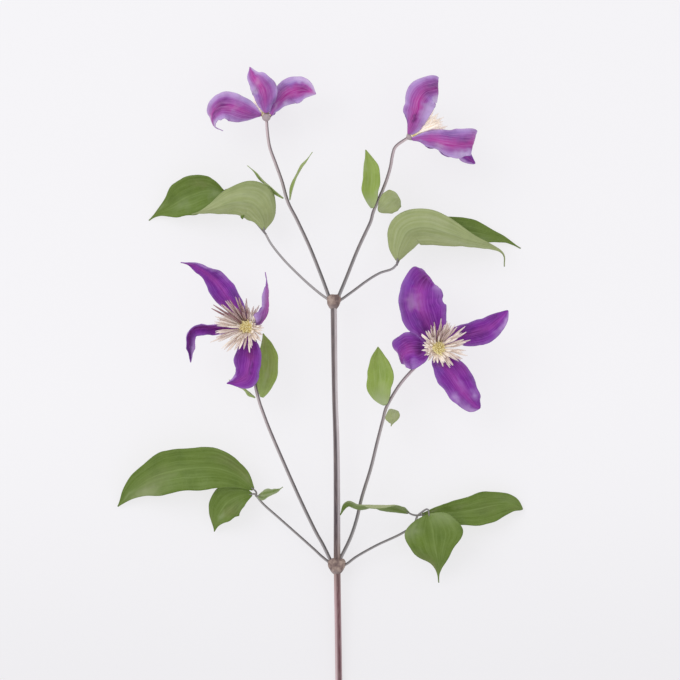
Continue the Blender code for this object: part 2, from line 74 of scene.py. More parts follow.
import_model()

MM = 0.001
UP = Vector((0, 0, 1))
DOWN = Vector((0, 0, -1))
SHIFT = Vector((9.884, -148.79, 0.0))  # from the tables' own origin to the middle of the frame
BODY = "root"
GOLDEN_ANGLE = 2.39996  # radians between a stamen or style and the next
VIEW_CENTRE = Vector((1.1, 187.0, 0.0))
TABLE_SIZE = 4.0  # half the table's side, in metres
ROUTE_STEPS = 24  # between two rows, where a route is measured

# Flower centres
TEPAL_ROOT_RADIUS = 3.15
TEPAL_ROOT_HEIGHT = 0.4
STAMEN_FOOT = 1.3
CARPEL_FOOT = 3.2
STAMEN_WIDTHS = (1.0, 0.9, 0.85, 0.9, 1.6, 1.5, 0.5)  # as shares of the thread's, with the anther last
STAMEN_GAP = 0.6  # from the tepals; a stamen is turned upright until it has it
LEAST_STAMEN_GAP = 0.4  # a stamen that still has less is left out
LEAST_LEAN = 0.15  # radians
# Blades
TIP_HALF_WIDTH = 0.3
MARGIN_WAVE = 0.16  # how far a margin wanders, as a share of the half width
LEAF_GRID = (56, 20)  # faces along and across
BRACT_GRID = (36, 14)
TEPAL_GRID = (60, 26)
CRINKLE_SIZE = 5.0
FINE_CRINKLE_SIZE = 1.8
SPOT_COUNT = 7
OUTSIDE_SHOWN = ("flower_a", "flower_b")  # these turn their outer, more magenta faces up
# The stem
STEM_RIBS = 6
CUT_SLOPE = 0.6
CUT_HEIGHT = 1.617  # the axis's height where the cut end lies on the table
MAIN_STEM = (
    (0.8, -38.0, CUT_HEIGHT, 1.8), (0.7, -24.0, CUT_HEIGHT, 1.8), (0.4, 0.0, 2.6, 1.8),
    (0.0, 30.0, 4.9, 1.75), (-0.5, 63.5, 8.5, 1.75), (-0.6, 100.0, 11.3, 1.7), (-0.9, 130.0, 13.1, 1.6),
    (-1.8, 160.0, 14.7, 1.5), (-2.4, 209.0, 17.0, 1.7),
)
# Swellings of the two nodes
NODES = (
    [(-0.5, 57.6, 8.0, 1.8), (-0.6, 58.8, 8.1, 2.9), (-0.7, 60.6, 8.3, 4.0), (-0.7, 62.6, 8.5, 4.6),
     (-0.7, 64.6, 8.6, 4.6), (-0.7, 66.0, 8.7, 3.6)],
    [(-2.5, 204.2, 16.8, 1.8), (-2.5, 205.2, 16.9, 2.6), (-2.4, 206.8, 16.9, 3.3), (-2.3, 208.8, 17.0, 3.7),
     (-2.2, 210.8, 17.0, 3.6), (-2.2, 212.0, 17.1, 2.8)],
)

# A blade's midrib rows, its greatest half width and how far along that is, how fast it widens, its half
# width at the root, its fold and curl in degrees at root and tip, its margin's waves (height, count,
# phase) and the way that its upper or inner face looks
Blade = namedtuple("Blade", "midrib half_width widest rise base fold curl ruffle face")
# A flower's centre, the way it faces, how far its stamens open, their length, the directions in which
# stamens are blushed and drawn out longer, and its tepals
Flower = namedtuple("Flower", "centre axis spread length blush drawn tepals")
# Where a blade is paler, above 0, or deeper, below 0, with its own upper or inner face up
Marking = namedtuple("Marking", "left right middle root tip", defaults=(0, 0, 0, 0, 0))


def leaf(midrib, half_width, widest=0.36, rise=1.15, fold=(15, 8), curl=(10, 10), ruffle=(0.5, 2, 0),
         face=UP):
    """A leaflet or bract."""
    return Blade(midrib, half_width, widest, rise, 0.6, fold, curl, ruffle, face)


def tepal(midrib, half_width, widest=0.5, rise=1.0, fold=(20, 5), curl=(25, -15), ruffle=(1.0, 3, 0)):
    """A tepal, whose inner face turns to its flower's axis."""
    return Blade(midrib, half_width, widest, rise, 1.2, fold, curl, ruffle, None)


LEAFLETS = {
    "leaf_upper_left_terminal": leaf(
        [(-62.5, 268.5, 14, 0), (-73.2, 269.0, 13, 0), (-83.5, 265.8, 11, 5), (-92.0, 261.3, 8, 10),
         (-99.5, 257.4, 5, 15), (-105.0, 253.4, 2, 20)], 11.5, curl=(20, 20)),
    "leaf_upper_left_lateral": leaf(
        [(-40.6, 247.6, 19, 0), (-41.5, 254.5, 22, 0), (-47.0, 261.5, 26, 0), (-57.4, 262.3, 27, 0),
         (-68.5, 258.9, 24, 0), (-80.5, 256.2, 19, 0)], 12.2, 0.34, face=DOWN),
    "leaf_upper_right_lateral": leaf(
        [(32.6, 230.6, 19.6, 0), (34.0, 238.0, 22, 0), (38.5, 246.5, 26, 0), (47.8, 248.8, 27, 0),
         (58.5, 246.3, 26, 5), (72.1, 241.8, 22, 10), (84.8, 238.3, 16, 20), (91.2, 234.4, 13, 30),
         (92.0, 227.6, 10, 40)], 11.0, 0.27, 0.95, face=DOWN),
    "leaf_upper_right_terminal": leaf(
        [(46.0, 250.0, 13, 10), (56.6, 248.6, 13, 20), (70.2, 246.9, 12, 25), (81.9, 245.0, 9, 25),
         (92.6, 242.4, 5, 15), (101.4, 237.9, 2, 0)], 7.5),
    "leaf_lower_left_terminal": leaf(
        [(-46.8, 104.5, 12, 0), (-56.1, 112.4, 15, 0), (-68.4, 116.3, 17, 0), (-81.6, 116.0, 16, 0),
         (-95.0, 113.7, 14, 0), (-106.5, 109.0, 10, 5), (-115.0, 102.5, 6, 10), (-122.2, 94.6, 1.5, 20)],
        12.6, 0.45, 1.0),
    "leaf_lower_left_side": leaf(
        [(-47.5, 101.8, 11, 0), (-53.5, 101.0, 12, 0), (-60.4, 97.6, 11, 0), (-66.0, 90.3, 8, 0),
         (-68.6, 80.8, 3, 0)], 9.0, 0.42),
    "leaf_lower_left_small": leaf(
        [(-44.0, 100.9, 12, 50), (-40.0, 101.1, 15, 50), (-35.4, 102.5, 18, 50), (-30.3, 106.1, 21, 50)],
        4.2),
    "leaf_lower_right_left": leaf(
        [(39.0, 91.6, 11, 40), (31.4, 95.6, 15, 60), (20.4, 96.0, 18, 75), (11.0, 96.4, 19, 60),
         (5.0, 96.8, 18, 40), (1.2, 90.5, 16, 30)], 6.5, 0.4),
    "leaf_lower_right_side": leaf(
        [(50.0, 91.0, 13, 0), (51.6, 85.3, 15.5, 0), (53.2, 75.4, 15.5, 0), (55.0, 65.0, 11, 0),
         (55.9, 52.5, 3, 0)], 16.0, 0.26, 1.0),
    "leaf_lower_right_terminal": leaf(
        [(46.5, 90.2, 8, 0), (54.8, 91.0, 9, 0), (66.1, 91.8, 10, 0), (76.6, 93.3, 9, 0),
         (87.2, 95.6, 7, 0), (96.6, 95.8, 5, 5), (102.5, 93.1, 2, 10)], 8.8, 0.56),
}

BRACTS = {
    "bract_a_left": leaf(
        [(-29.9, 265.0, 22, 75), (-35.2, 269.5, 23, 80), (-41.3, 275.0, 24, 80), (-45.7, 279.4, 25, 80),
         (-49.7, 282.7, 26, 80)], 3.0),
    "bract_a_right": leaf(
        [(-26.3, 263.9, 22.1, 80), (-25.0, 269.5, 23, 80), (-22.8, 276.1, 24, 80), (-19.0, 282.7, 25, 80),
         (-14.0, 290.1, 26, 80)], 3.0),
    "bract_b_left": leaf(
        [(18.9, 259.5, 22.3, 0), (17.9, 267.8, 24.3, 0), (18.4, 277.8, 24.5, 0), (17.2, 285.5, 23.5, 0),
         (15.2, 291.5, 21.5, 0)], 4.9, 0.45, 1.0),
    "bract_b_right": leaf(
        [(22.2, 257.8, 22.6, 0), (25.6, 260.3, 26.5, 0), (30.0, 263.5, 31, 0), (33.3, 264.8, 35.5, 0)],
        6.0, 0.55, 0.8, face=DOWN),
    "bract_c_left": leaf(
        [(-45.4, 155.5, 23, 75), (-49.5, 159.0, 22, 80), (-54.5, 162.3, 20, 80), (-60.0, 165.0, 17, 80)],
        3.5),
    "bract_c_right": leaf(
        [(-41.8, 155.5, 23, 0), (-40.0, 163.5, 24, 0), (-38.4, 173.0, 24, 0), (-38.9, 182.5, 22, 0),
         (-41.2, 190.6, 20, 0)], 6.0, 0.45, 1.0),
    "bract_d_left": leaf(
        [(26.0, 151.2, 23.3, 0), (23.1, 159.5, 24, 0), (23.1, 167.8, 24, 0), (22.3, 176.0, 22, 0),
         (22.0, 183.2, 19, 0)], 7.2, 0.45, 0.9),
    "bract_d_right": leaf(
        [(28.5, 149.0, 22, 0), (29.5, 146.5, 26, 0), (30.0, 143.0, 31, 0), (29.0, 140.0, 35, 0)],
        4.0, face=DOWN),
}

FLOWERS = {
    "a": Flower((-39.3, 309.0, 27.0), (-0.05, 0.75, -0.66), 0.25, 14.0, (0, 1), (0, 0), {
        "left": tepal(
            [(-1.4, 0.5, 0, -10), (-6.0, 1.5, 2, -20), (-12.5, 3.6, 4, -40), (-19.0, 5.8, 6, -45),
             (-25.0, 5.4, 5, -45), (-29.5, 1.5, 1, -45), (-29.2, -4.0, -4, -45), (-24.0, -7.0, -7, -45)],
            7.8, 0.37),
        "near": tepal(
            [(0, 0, 0, 0), (-0.3, 7.0, 5, 0), (-0.8, 13.5, 8, 0), (-3.5, 18.5, 10, 0),
             (-7.0, 22.5, 9, 0), (-8.9, 27.2, 5, 0)], 6.6, 0.43, 0.9),
        "right": tepal(
            [(2.8, 2.8, -1, 20), (7.2, 9.8, -2, 40), (13.0, 14.6, -1, 50), (20.5, 15.6, 1, 50),
             (27.2, 12.8, 2, 50)], 7.6, 0.58, 1.5),
        "far": tepal(
            [(0, 1.0, -3, 0), (0.5, 1.5, -11, 0), (1.5, 6.0, -18, 0), (2.0, 13.0, -22, 0),
             (1.0, 19.5, -24, 0)], 6.0),
    }),
    "b": Flower((39.6, 298.7, 27.0), (0.80, 0.50, 0.33), 0.5, 18.0, (0, 0), (0, 0), {
        "lower_near": tepal(
            [(0.5, -2.1, 2, 20), (6.0, -2.2, 6, 40), (13.0, -2.8, 10, 50), (21.5, -4.8, 12, 50),
             (28.5, -4.8, 12, 50), (33.5, -4.5, 9, 50), (34.0, -4.5, 4, 50), (29.5, -5.0, 1, 50)],
            8.0, 0.62, 1.0, ruffle=(1.4, 3, 0.3)),
        "upper_near": tepal(
            [(-1.5, 1.4, 2, -20), (0.2, 6.0, 8, -40), (2.8, 12.5, 13.5, -50), (4.6, 19.0, 16, -50),
             (8.2, 23.6, 16, -55), (13.5, 25.4, 12, -70), (15.0, 25.6, 7, -83), (11.0, 25.6, 3, -83)],
            8.8, 0.55, 0.65, ruffle=(1.4, 3, 0)),
        "upper_far": tepal(
            [(-0.5, 2.1, -2, 0), (1.5, 8.0, -6, 0), (2.5, 15.0, -9, 0), (3.5, 22.0, -10, 0),
             (2.0, 29.0, -9, 0)], 7.0, 0.6, 0.8),
        "lower_far": tepal(
            [(1.7, -1.4, -2, 0), (8.0, -3.5, -6, 0), (17.0, -6.0, -8, 0), (27.0, -8.5, -9, 0),
             (36.0, -14.5, -10, 0)], 7.5, 0.55, 0.9),
    }),
    "c": Flower((-48.6, 193.2, 30.0), (-0.20, 0.13, 0.97), 1.0, 15.5, (-0.45, 1.0), (-0.45, 0.0), {
        "upper": tepal(
            [(-3.0, 5.5, -1, 0), (-7.4, 11.9, -2, 0), (-13.2, 19.5, -4, 0), (-18.3, 26.2, -5, 10),
             (-25.0, 32.0, -3, 25), (-31.9, 35.3, 0, 40), (-37.3, 36.2, 3, 50)], 6.6, 0.42),
        "right": tepal(
            [(3.5, 1.1, 0, 60), (7.0, 3.0, 3, 60), (10.4, 8.5, 7, 60), (11.0, 15.5, 12, 60),
             (10.4, 23.0, 15, 60), (9.2, 30.6, 17, 60)], 7.5, 0.34, fold=(30, 20), curl=(30, 10)),
        "left": tepal(
            [(-4.4, 1.0, -2, 0), (-12.0, -0.8, -2, 0), (-20.0, 0.6, 1, 20), (-28.0, 1.2, 3, 35),
             (-32.6, -2.0, 2, 45), (-32.9, -9.5, -3, 45), (-32.4, -18.4, -8, 45)], 5.2,
            fold=(40, 50), curl=(20, 20)),
        "lower": tepal(
            [(-0.3, -4.6, 0, 0), (0.2, -12.4, 3, 0), (0, -20.0, 4, 0), (-2.0, -26.0, 2, 0),
             (-7.0, -28.9, -2, 0), (-12.4, -30.0, -5, 0)], 8.0, 0.42, 0.9),
    }),
    "d": Flower((53.9, 182.6, 30.0), (0.16, 0.0, 0.98), 1.0, 12.7, (0, 0.75), (0.35, 0.3), {
        "upper": tepal(
            [(-1.5, 4.4, -1, 0), (-4.8, 13.0, 1, 0), (-8.2, 21.5, 2, 0), (-8.6, 30.0, 2, 0),
             (-6.5, 36.8, -1, 0), (-3.5, 38.0, -6, 0), (-0.5, 34.0, -9, 0)], 12.8, 0.45, 0.55),
        "left": tepal(
            [(-4.4, 0.6, -1, 0), (-9.5, -1.0, 0, 0), (-14.5, -1.5, -2, 0), (-18.0, -4.0, -6, 0),
             (-19.0, -8.5, -12, 0)], 10.5, 0.45, 0.8),
        "right": tepal(
            [(5.0, 3.0, -1, 0), (11.4, 6.5, -1, 0), (20.5, 8.1, 1, 0), (28.8, 11.0, 3, 0),
             (35.2, 16.2, 5, 0), (39.0, 20.5, 6, 0)], 6.8, 0.52, 0.9, ruffle=(1.6, 3, 0.3)),
        "lower": tepal(
            [(1.5, -4.0, 0, 0), (5.0, -10.5, 2, 0), (10.5, -18.0, 3, 0), (16.0, -25.5, 3, 0),
             (20.3, -30.5, 0, 0), (24.0, -33.0, -4, 0)], 8.8, 0.42, 0.5),
    }),
}

MARKINGS = {
    "flower_a_tepal_left": Marking(0.4, 0.1, 0, 0, 0.5),
    "flower_a_tepal_near": Marking(0, 0.3, 0, 0, -0.2),
    "flower_a_tepal_right": Marking(0.1, 0.1, 0, 0, 0.5),
    "flower_b_tepal_upper_near": Marking(0.1, 0.1, 0, 0, -0.1),
    "flower_c_tepal_right": Marking(0.5, 0, 0, 0, 0),
    "leaf_upper_left_lateral": Marking(-0.15, -0.15, -0.15, 0, 0),
    "leaf_lower_left_small": Marking(0.5, 0.5, 0.5, 0, 0),
    "leaf_lower_right_left": Marking(0.2, 0.2, 0.2, 0, -0.3),
    "bract_a_left": Marking(0.3, 0.3, 0.3, 0, 0),
    "bract_a_right": Marking(0.3, 0.3, 0.3, 0, 0),
    "bract_c_left": Marking(0.3, 0.3, 0.3, 0, 0),
    "bract_b_left": Marking(0, 0, 0, 0.5, 0),
    "bract_c_right": Marking(0, 0, 0, 0.2, 0),
    "bract_d_left": Marking(0, 0, 0, 0.7, -0.2),
    "bract_d_right": Marking(0, 0, 0, 0.3, 0.2),
}

BRANCHES = {
    "pedicel_a": [(-4.8, 210.3, 17), (-9.0, 221.7, 18), (-15.4, 237.7, 19.5), (-22.3, 252.5, 21),
                  (-27.6, 263.0, 22), (-30.8, 274.2, 23), (-34.3, 284.0, 24), (-37.4, 292.6, 25.5),
                  (-38.7, 300.9, 26.5)],
    "pedicel_b": [(-0.2, 209.8, 17), (3.9, 219.5, 18), (10.4, 235.7, 19.5), (14.8, 245.3, 20.5),
                  (18.0, 252.2, 21), (19.8, 258.5, 21.5), (25.5, 271.7, 22.5), (28.6, 281.2, 23.5),
                  (30.0, 288.8, 24.5), (32.0, 293.5, 25.5)],
    "petiole_a": [(-4.4, 208.8, 16.5), (-8.9, 211.8, 16.2), (-14.3, 216.2, 16), (-20.4, 221.7, 16),
                  (-29.4, 230.7, 16.5),
                  (-36.4, 239.3, 17), (-40.0, 245.6, 17.5)],
    "petiole_b": [(0.6, 208.4, 16.5), (7.7, 213.5, 16), (16.5, 220.0, 16), (23.1, 223.9, 16.5),
                  (29.5, 226.0, 17.5), (32.4, 228.6, 18.5)],
    "pedicel_c": [(-3.9, 64.6, 8), (-8.2, 73.6, 9.8), (-12.8, 82.0, 11.2), (-20.9, 99.0, 14),
                  (-29.9, 119.4, 17), (-37.6, 137.5, 20),
                  (-41.3, 147.4, 22), (-43.5, 154.0, 23), (-46.0, 165.0, 24), (-48.0, 178.0, 25),
                  (-48.8, 188.0, 26.0)],
    "petiole_c": [(-3.0, 62.4, 8), (-9.2, 67.4, 8), (-12.8, 70.8, 8), (-20.9, 78.1, 8.5), (-32.7, 88.6, 9.5),
                  (-41.0, 96.0, 10.5), (-45.2, 101.0, 11)],
    "pedicel_d": [(0.2, 64.0, 8), (6.6, 77.0, 10), (10.3, 88.0, 12), (13.2, 100.4, 14), (18.0, 116.0, 16.5),
                  (21.4, 130.0, 19), (24.7, 143.0, 21.5), (26.8, 150.5, 22.5), (33.8, 162.2, 21.5),
                  (41.5, 171.0, 20.0), (49.0, 178.0, 21.5), (53.0, 182.0, 26.0)],
    "petiole_d": [(1.5, 61.8, 8), (5.0, 63.2, 7.8), (10.4, 67.2, 7.5), (21.4, 73.4, 8), (34.5, 79.6, 9),
                  (41.5, 84.5, 9.5), (44.0, 90.0, 10)],
}

LEAFLET_PETIOLES = {
    name: {"upper_left": "petiole_a", "upper_right": "petiole_b", "lower_left": "petiole_c",
           "lower_right": "petiole_d"}["_".join(name.split("_")[1:3])]
    for name in LEAFLETS
}
TABLE_LEAFLETS = ("leaf_upper_left_terminal", "leaf_upper_right_terminal")


def linear(code):
    """The linear colour of an sRGB hex value."""
    parts = [int(code[k:k + 2], 16) / 255 for k in (1, 3, 5)]
    return (*(p / 12.92 if p <= 0.04045 else ((p + 0.055) / 1.055) ** 2.4 for p in parts), 1.0)


def add_node(tree, kind, inputs=None, stops=None, **settings):
    """Add a node with its settings, its inputs, each a value or an output to link, and its ramp's stops."""
    made = tree.nodes.new(kind)
    for name, value in settings.items():
        setattr(made, name, value)
    for socket, value in (inputs or {}).items():
        if isinstance(value, bpy.types.NodeSocket):
            tree.links.new(value, made.inputs[socket])
        else:
            made.inputs[socket].default_value = value
    if stops:
        ramp = made.color_ramp
        while len(ramp.elements) < len(stops):
            ramp.elements.new(1.0)
        for element, (place, value) in zip(ramp.elements, stops):
            element.position = place
            if isinstance(value, float):
                value = (value, value, value)
            element.color = linear(value) if isinstance(value, str) else (*value, 1.0)
    return made


def new_material(name, roughness, specular, sheen=0.0):
    """A material with a Principled shader, and its node tree and shader."""
    made = bpy.data.materials.new(name)
    made.use_nodes = True
    shader = made.node_tree.nodes["Principled BSDF"]
    shader.inputs["Roughness"].default_value = roughness
    shader.inputs["Specular IOR Level"].default_value = specular
    shader.inputs["IOR"].default_value = 1.45
    shader.inputs["Sheen Weight"].default_value = sheen
    return made, made.node_tree, shader


def across_blade(tree, wobble):
    """Outputs for how far along a blade a point is, and how far from its midrib: 0 there, 1 at a margin."""
    place = add_node(tree, "ShaderNodeUVMap", uv_map="blade")
    parts = add_node(tree, "ShaderNodeSeparateXYZ", {0: place.outputs["UV"]})
    coords = add_node(tree, "ShaderNodeTexCoord")
    wave = add_node(tree, "ShaderNodeTexNoise", {"Vector": coords.outputs["Object"], "Scale": 1 / 0.012,
                                                 "Detail": 2.0})
    shifted = add_node(tree, "ShaderNodeMath", {0: wave.outputs["Fac"], 1: wobble}, operation="MULTIPLY")
    centred = add_node(tree, "ShaderNodeMath", {0: parts.outputs["Y"], 1: 0.5 + wobble / 2},
                       operation="SUBTRACT")
    moved = add_node(tree, "ShaderNodeMath", {0: centred.outputs[0], 1: shifted.outputs[0]})
    width = add_node(tree, "ShaderNodeMath", {0: moved.outputs[0], 1: 0.0}, operation="ABSOLUTE")
    doubled = add_node(tree, "ShaderNodeMath", {0: width.outputs[0], 1: 2.0}, operation="MULTIPLY")
    return parts.outputs["X"], doubled.outputs[0], moved.outputs[0], coords.outputs["Object"]


def mixed(tree, share, a, b):
    """The colour between a and b."""
    node = add_node(tree, "ShaderNodeMix", {"Factor": share, 6: a, 7: b}, data_type="RGBA")
    return node.outputs[2]


def streaked(tree, along, side, colour, light, count, share):
    """The colour with lighter streaks that run the length of a blade, and the streaks' own output."""
    drawn = add_node(tree, "ShaderNodeCombineXYZ", {"X": along, "Y": side})
    drawn = add_node(tree, "ShaderNodeMapping", {"Vector": drawn.outputs[0], "Scale": (3.0, count, 1.0)})
    streaks = add_node(tree, "ShaderNodeTexNoise", {"Vector": drawn.outputs[0], "Scale": 1.0, "Detail": 3.0})
    level = add_node(tree, "ShaderNodeValToRGB", {"Fac": streaks.outputs["Fac"]},
                     stops=[(0.4, 0.0), (0.72, share)])
    return mixed(tree, level.outputs["Color"], colour, linear(light)), streaks.outputs["Fac"]


def clouded(tree, place, size, colour, dark, share):
    """The colour with soft dark clouds of a size in metres."""
    clouds = add_node(tree, "ShaderNodeTexNoise", {"Vector": place, "Scale": 1 / size, "Detail": 3.0})
    level = add_node(tree, "ShaderNodeValToRGB", {"Fac": clouds.outputs["Fac"]},
                     stops=[(0.48, 0.0), (0.72, share)])
    return mixed(tree, level.outputs["Color"], colour, linear(dark))


def petal_face(name, shine, wobble, bands, cloud, marks, streak, crease):
    """A petal's face: bands from midrib to margin, dark clouds, the blade's own marks and long streaks.

    shine is roughness, specular and sheen; cloud a size in metres, a colour and a share; streak a
    colour and a count across the blade; crease the depth of the streaks in metres."""
    made, tree, shader = new_material(name, *shine)
    along, across, side, place = across_blade(tree, wobble)
    base = add_node(tree, "ShaderNodeValToRGB", {"Fac": across}, stops=bands)
    size, dark, share = cloud
    surface = clouded(tree, place, size, base.outputs["Color"], dark, share)
    surface = marked(tree, surface, *marks)
    light, count = streak
    surface, streaks = streaked(tree, along, side, surface, light, count, 0.4)
    tree.links.new(surface, shader.inputs["Base Color"])
    relief = add_node(tree, "ShaderNodeBump", {"Height": streaks, "Strength": 0.4, "Distance": crease})
    tree.links.new(relief.outputs[0], shader.inputs["Normal"])
    return made


def petal_inside(colour):
    """Fresh petal, inner face: soft satin violet, with a lighter bar down the middle and fine streaks."""
    bands = [(0.0, "#943BA2"), (0.16, "#86339C"), (0.34, colour), (0.7, colour), (0.9, "#8450A0"),
             (1.0, "#8F66AE")]
    # Streaks lie 0.6 to 0.9 mm apart
    return petal_face("petal_inside", (0.55, 0.08, 0.02), 0.12, bands, (0.007, "#571F70", 0.5),
                      ("#C09FD1", "#430A55", "#9C3C8C", "#8262BC"), ("#B46BCB", 34.0), 0.0007)


def petal_outside(colour):
    """Fresh petal, outer face: felted lilac violet, with broad magenta ribs and paler margins."""
    bands = [(0.0, "#A84C9E"), (0.12, "#9A459C"), (0.24, colour), (0.5, colour), (0.8, "#A986C6"),
             (1.0, "#BDA4D4")]
    return petal_face("petal_outside", (0.62, 0.1, 0.08), 0.14, bands, (0.006, "#7A2F86", 0.5),
                      ("#D0BEDE", "#5C1462", "#B53A97", "#8B78C6"), ("#CF96D6", 26.0), 0.0008)


def marked(tree, colour, pale, deep, warm, cool):
    """The colour turned paler, deeper, warmer or cooler where the blade's own attributes say so."""
    for name, high, low in (("hue", warm, cool), ("shade", pale, deep)):
        level = add_node(tree, "ShaderNodeAttribute", attribute_name=name).outputs["Fac"]
        under = add_node(tree, "ShaderNodeMath", {0: level, 1: -1.0}, operation="MULTIPLY").outputs[0]
        colour = mixed(tree, under, mixed(tree, level, colour, linear(high)), linear(low))
    return colour


def leaf_face(name, colour, dark, vein, light, roughness, raised):
    """A leaf's face: soft long streaks of light and dark, and faint veins that arch from root to tip."""
    made, tree, shader = new_material(name, roughness, 0.3)
    along, across, side, place = across_blade(tree, 0.05)
    base = add_node(tree, "ShaderNodeRGB")
    base.outputs[0].default_value = (*colour, 1.0)
    surface = clouded(tree, place, 0.010, base.outputs[0], dark, 0.6)
    surface = marked(tree, surface, "#B6BE9E", "#48601E", "#7A9718", "#948A66")
    # The midrib and two pairs of side veins, 0.4 to 0.7 mm wide on a blade of 12 mm
    veins = add_node(tree, "ShaderNodeValToRGB", {"Fac": across}, stops=[
        (0.0, 0.55), (0.05, 0.1), (0.36, 0.0), (0.40, 0.3), (0.44, 0.0), (0.72, 0.0), (0.76, 0.25),
        (0.80, 0.0)])
    # The net's meshes are 3 mm across
    net = add_node(tree, "ShaderNodeTexVoronoi", {"Vector": place, "Scale": 1 / 0.003},
                   feature="DISTANCE_TO_EDGE")
    lines = add_node(tree, "ShaderNodeValToRGB", {"Fac": net.outputs["Distance"]},
                     stops=[(0.0, 0.14), (0.1, 0.0)])
    both = add_node(tree, "ShaderNodeMath", {0: veins.outputs["Color"], 1: lines.outputs["Color"]},
                    operation="MAXIMUM").outputs[0]
    surface = mixed(tree, both, surface, linear(vein))
    surface, streaks = streaked(tree, along, side, surface, light, 16.0, 0.35)
    tree.links.new(surface, shader.inputs["Base Color"])
    height = add_node(tree, "ShaderNodeMath", {0: both, 1: streaks})
    relief = add_node(tree, "ShaderNodeBump",
                      {"Height": height.outputs[0], "Strength": 0.5, "Distance": raised})
    tree.links.new(relief.outputs[0], shader.inputs["Normal"])
    return made


def stem_bark():
    """Ribbed semi-woody stem: maroon low down, slate above, tan at the nodes, and painted lighter along one
    side with a lit copy of the bark.
    """
    made, tree, shader = new_material("stem_bark", 0.6, 0.3)
    coords = add_node(tree, "ShaderNodeTexCoord")
    young = add_node(tree, "ShaderNodeAttribute", attribute_name="young").outputs["Fac"]
    lit = add_node(tree, "ShaderNodeAttribute", attribute_name="lit").outputs["Fac"]
    # Painted light and shade: dark is the bark's shaded copy and pale its lit copy, mixed by the lit layer
    dark = add_node(tree, "ShaderNodeValToRGB", {"Fac": young}, stops=[
        (0.0, "#522B34"), (0.2, "#6C484D"), (0.25, "#5B4A46"), (0.3, "#4A4045"), (0.6, "#625A5A"),
        (0.7, "#595858"), (1.0, "#75656A")])
    pale = add_node(tree, "ShaderNodeValToRGB", {"Fac": young}, stops=[
        (0.0, "#D6C4C6"), (0.2, "#C0A0A3"), (0.25, "#A08A7E"), (0.3, "#BDB4B8"), (0.45, "#DED6D8"),
        (0.6, "#CFC7C6"), (0.7, "#ABA8A8"), (1.0, "#D9C6C9")])
    bark = mixed(tree, lit, dark.outputs["Color"], pale.outputs["Color"])
    # Fibres 0.5 mm apart run up the stem
    drawn = add_node(tree, "ShaderNodeMapping", {"Vector": coords.outputs["Object"],
                                                 "Scale": (1 / 0.0005, 1 / 0.012, 1 / 0.0005)})
    fibres = add_node(tree, "ShaderNodeTexNoise", {"Vector": drawn.outputs[0], "Scale": 1.0, "Detail": 2.0})
    light = add_node(tree, "ShaderNodeValToRGB", {"Fac": fibres.outputs["Fac"]},
                     stops=[(0.4, 0.0), (0.7, 0.35)])
    bark = mixed(tree, light.outputs["Color"], bark, linear("#A3918D"))
    # The nodes are tan with dark hollows 2.5 mm across
    knots = add_node(tree, "ShaderNodeTexNoise", {"Vector": coords.outputs["Object"], "Scale": 1 / 0.0025})
    knotted = add_node(tree, "ShaderNodeValToRGB", {"Fac": knots.outputs["Fac"]}, stops=[
        (0.35, "#6E5C58"), (0.5, "#8D7971"), (0.65, "#AC988C")])
    node = add_node(tree, "ShaderNodeAttribute", attribute_name="node").outputs["Fac"]
    tree.links.new(mixed(tree, node, bark, knotted.outputs["Color"]), shader.inputs["Base Color"])
    relief = add_node(tree, "ShaderNodeBump", {"Height": fibres.outputs["Fac"], "Strength": 0.4,
                                               "Distance": 0.0002})
    tree.links.new(relief.outputs[0], shader.inputs["Normal"])
    return made


def stamen_threads(colour):
    """Stamens: near-white cream threads and anthers, some blushed pinkish brown, matt with pollen, with a
    faint painted glow.
    """
    made, tree, shader = new_material("stamen_threads", 0.8, 0.1)
    place = add_node(tree, "ShaderNodeAttribute", attribute_name="reach")
    tint = add_node(tree, "ShaderNodeAttribute", attribute_name="tint")
    coords = add_node(tree, "ShaderNodeTexCoord")
    grains = add_node(tree, "ShaderNodeTexNoise", {"Vector": coords.outputs["Object"], "Scale": 1 / 0.0012,
                                                   "Detail": 2.0})
    thread = add_node(tree, "ShaderNodeValToRGB", {"Fac": place.outputs["Fac"]}, stops=[
        (0.0, "#EDDFB4"), (0.25, "#F4E8CC"), (0.5, "#FBF4E8"), (0.75, colour), (1.0, "#F9F2E8")])
    pinker = mixed(tree, tint.outputs["Fac"], thread.outputs["Color"], linear("#986C72"))
    speckled = add_node(tree, "ShaderNodeValToRGB", {"Fac": grains.outputs["Fac"]},
                        stops=[(0.5, 0.0), (0.75, 0.2)])
    tree.links.new(mixed(tree, speckled.outputs["Color"], pinker, linear("#E0C6BC")),
                   shader.inputs["Base Color"])
    # Painted light: the pale threads glow a little, as though light came through them, and blushed ones glow
    # less
    shader.inputs["Emission Color"].default_value = linear("#FFF6E8")
    glow = add_node(tree, "ShaderNodeMapRange", {"Value": tint.outputs["Fac"], "From Min": 0.0,
                                                 "From Max": 0.6, "To Min": 0.22, "To Max": 0.0})
    tree.links.new(glow.outputs[0], shader.inputs["Emission Strength"])
    return made


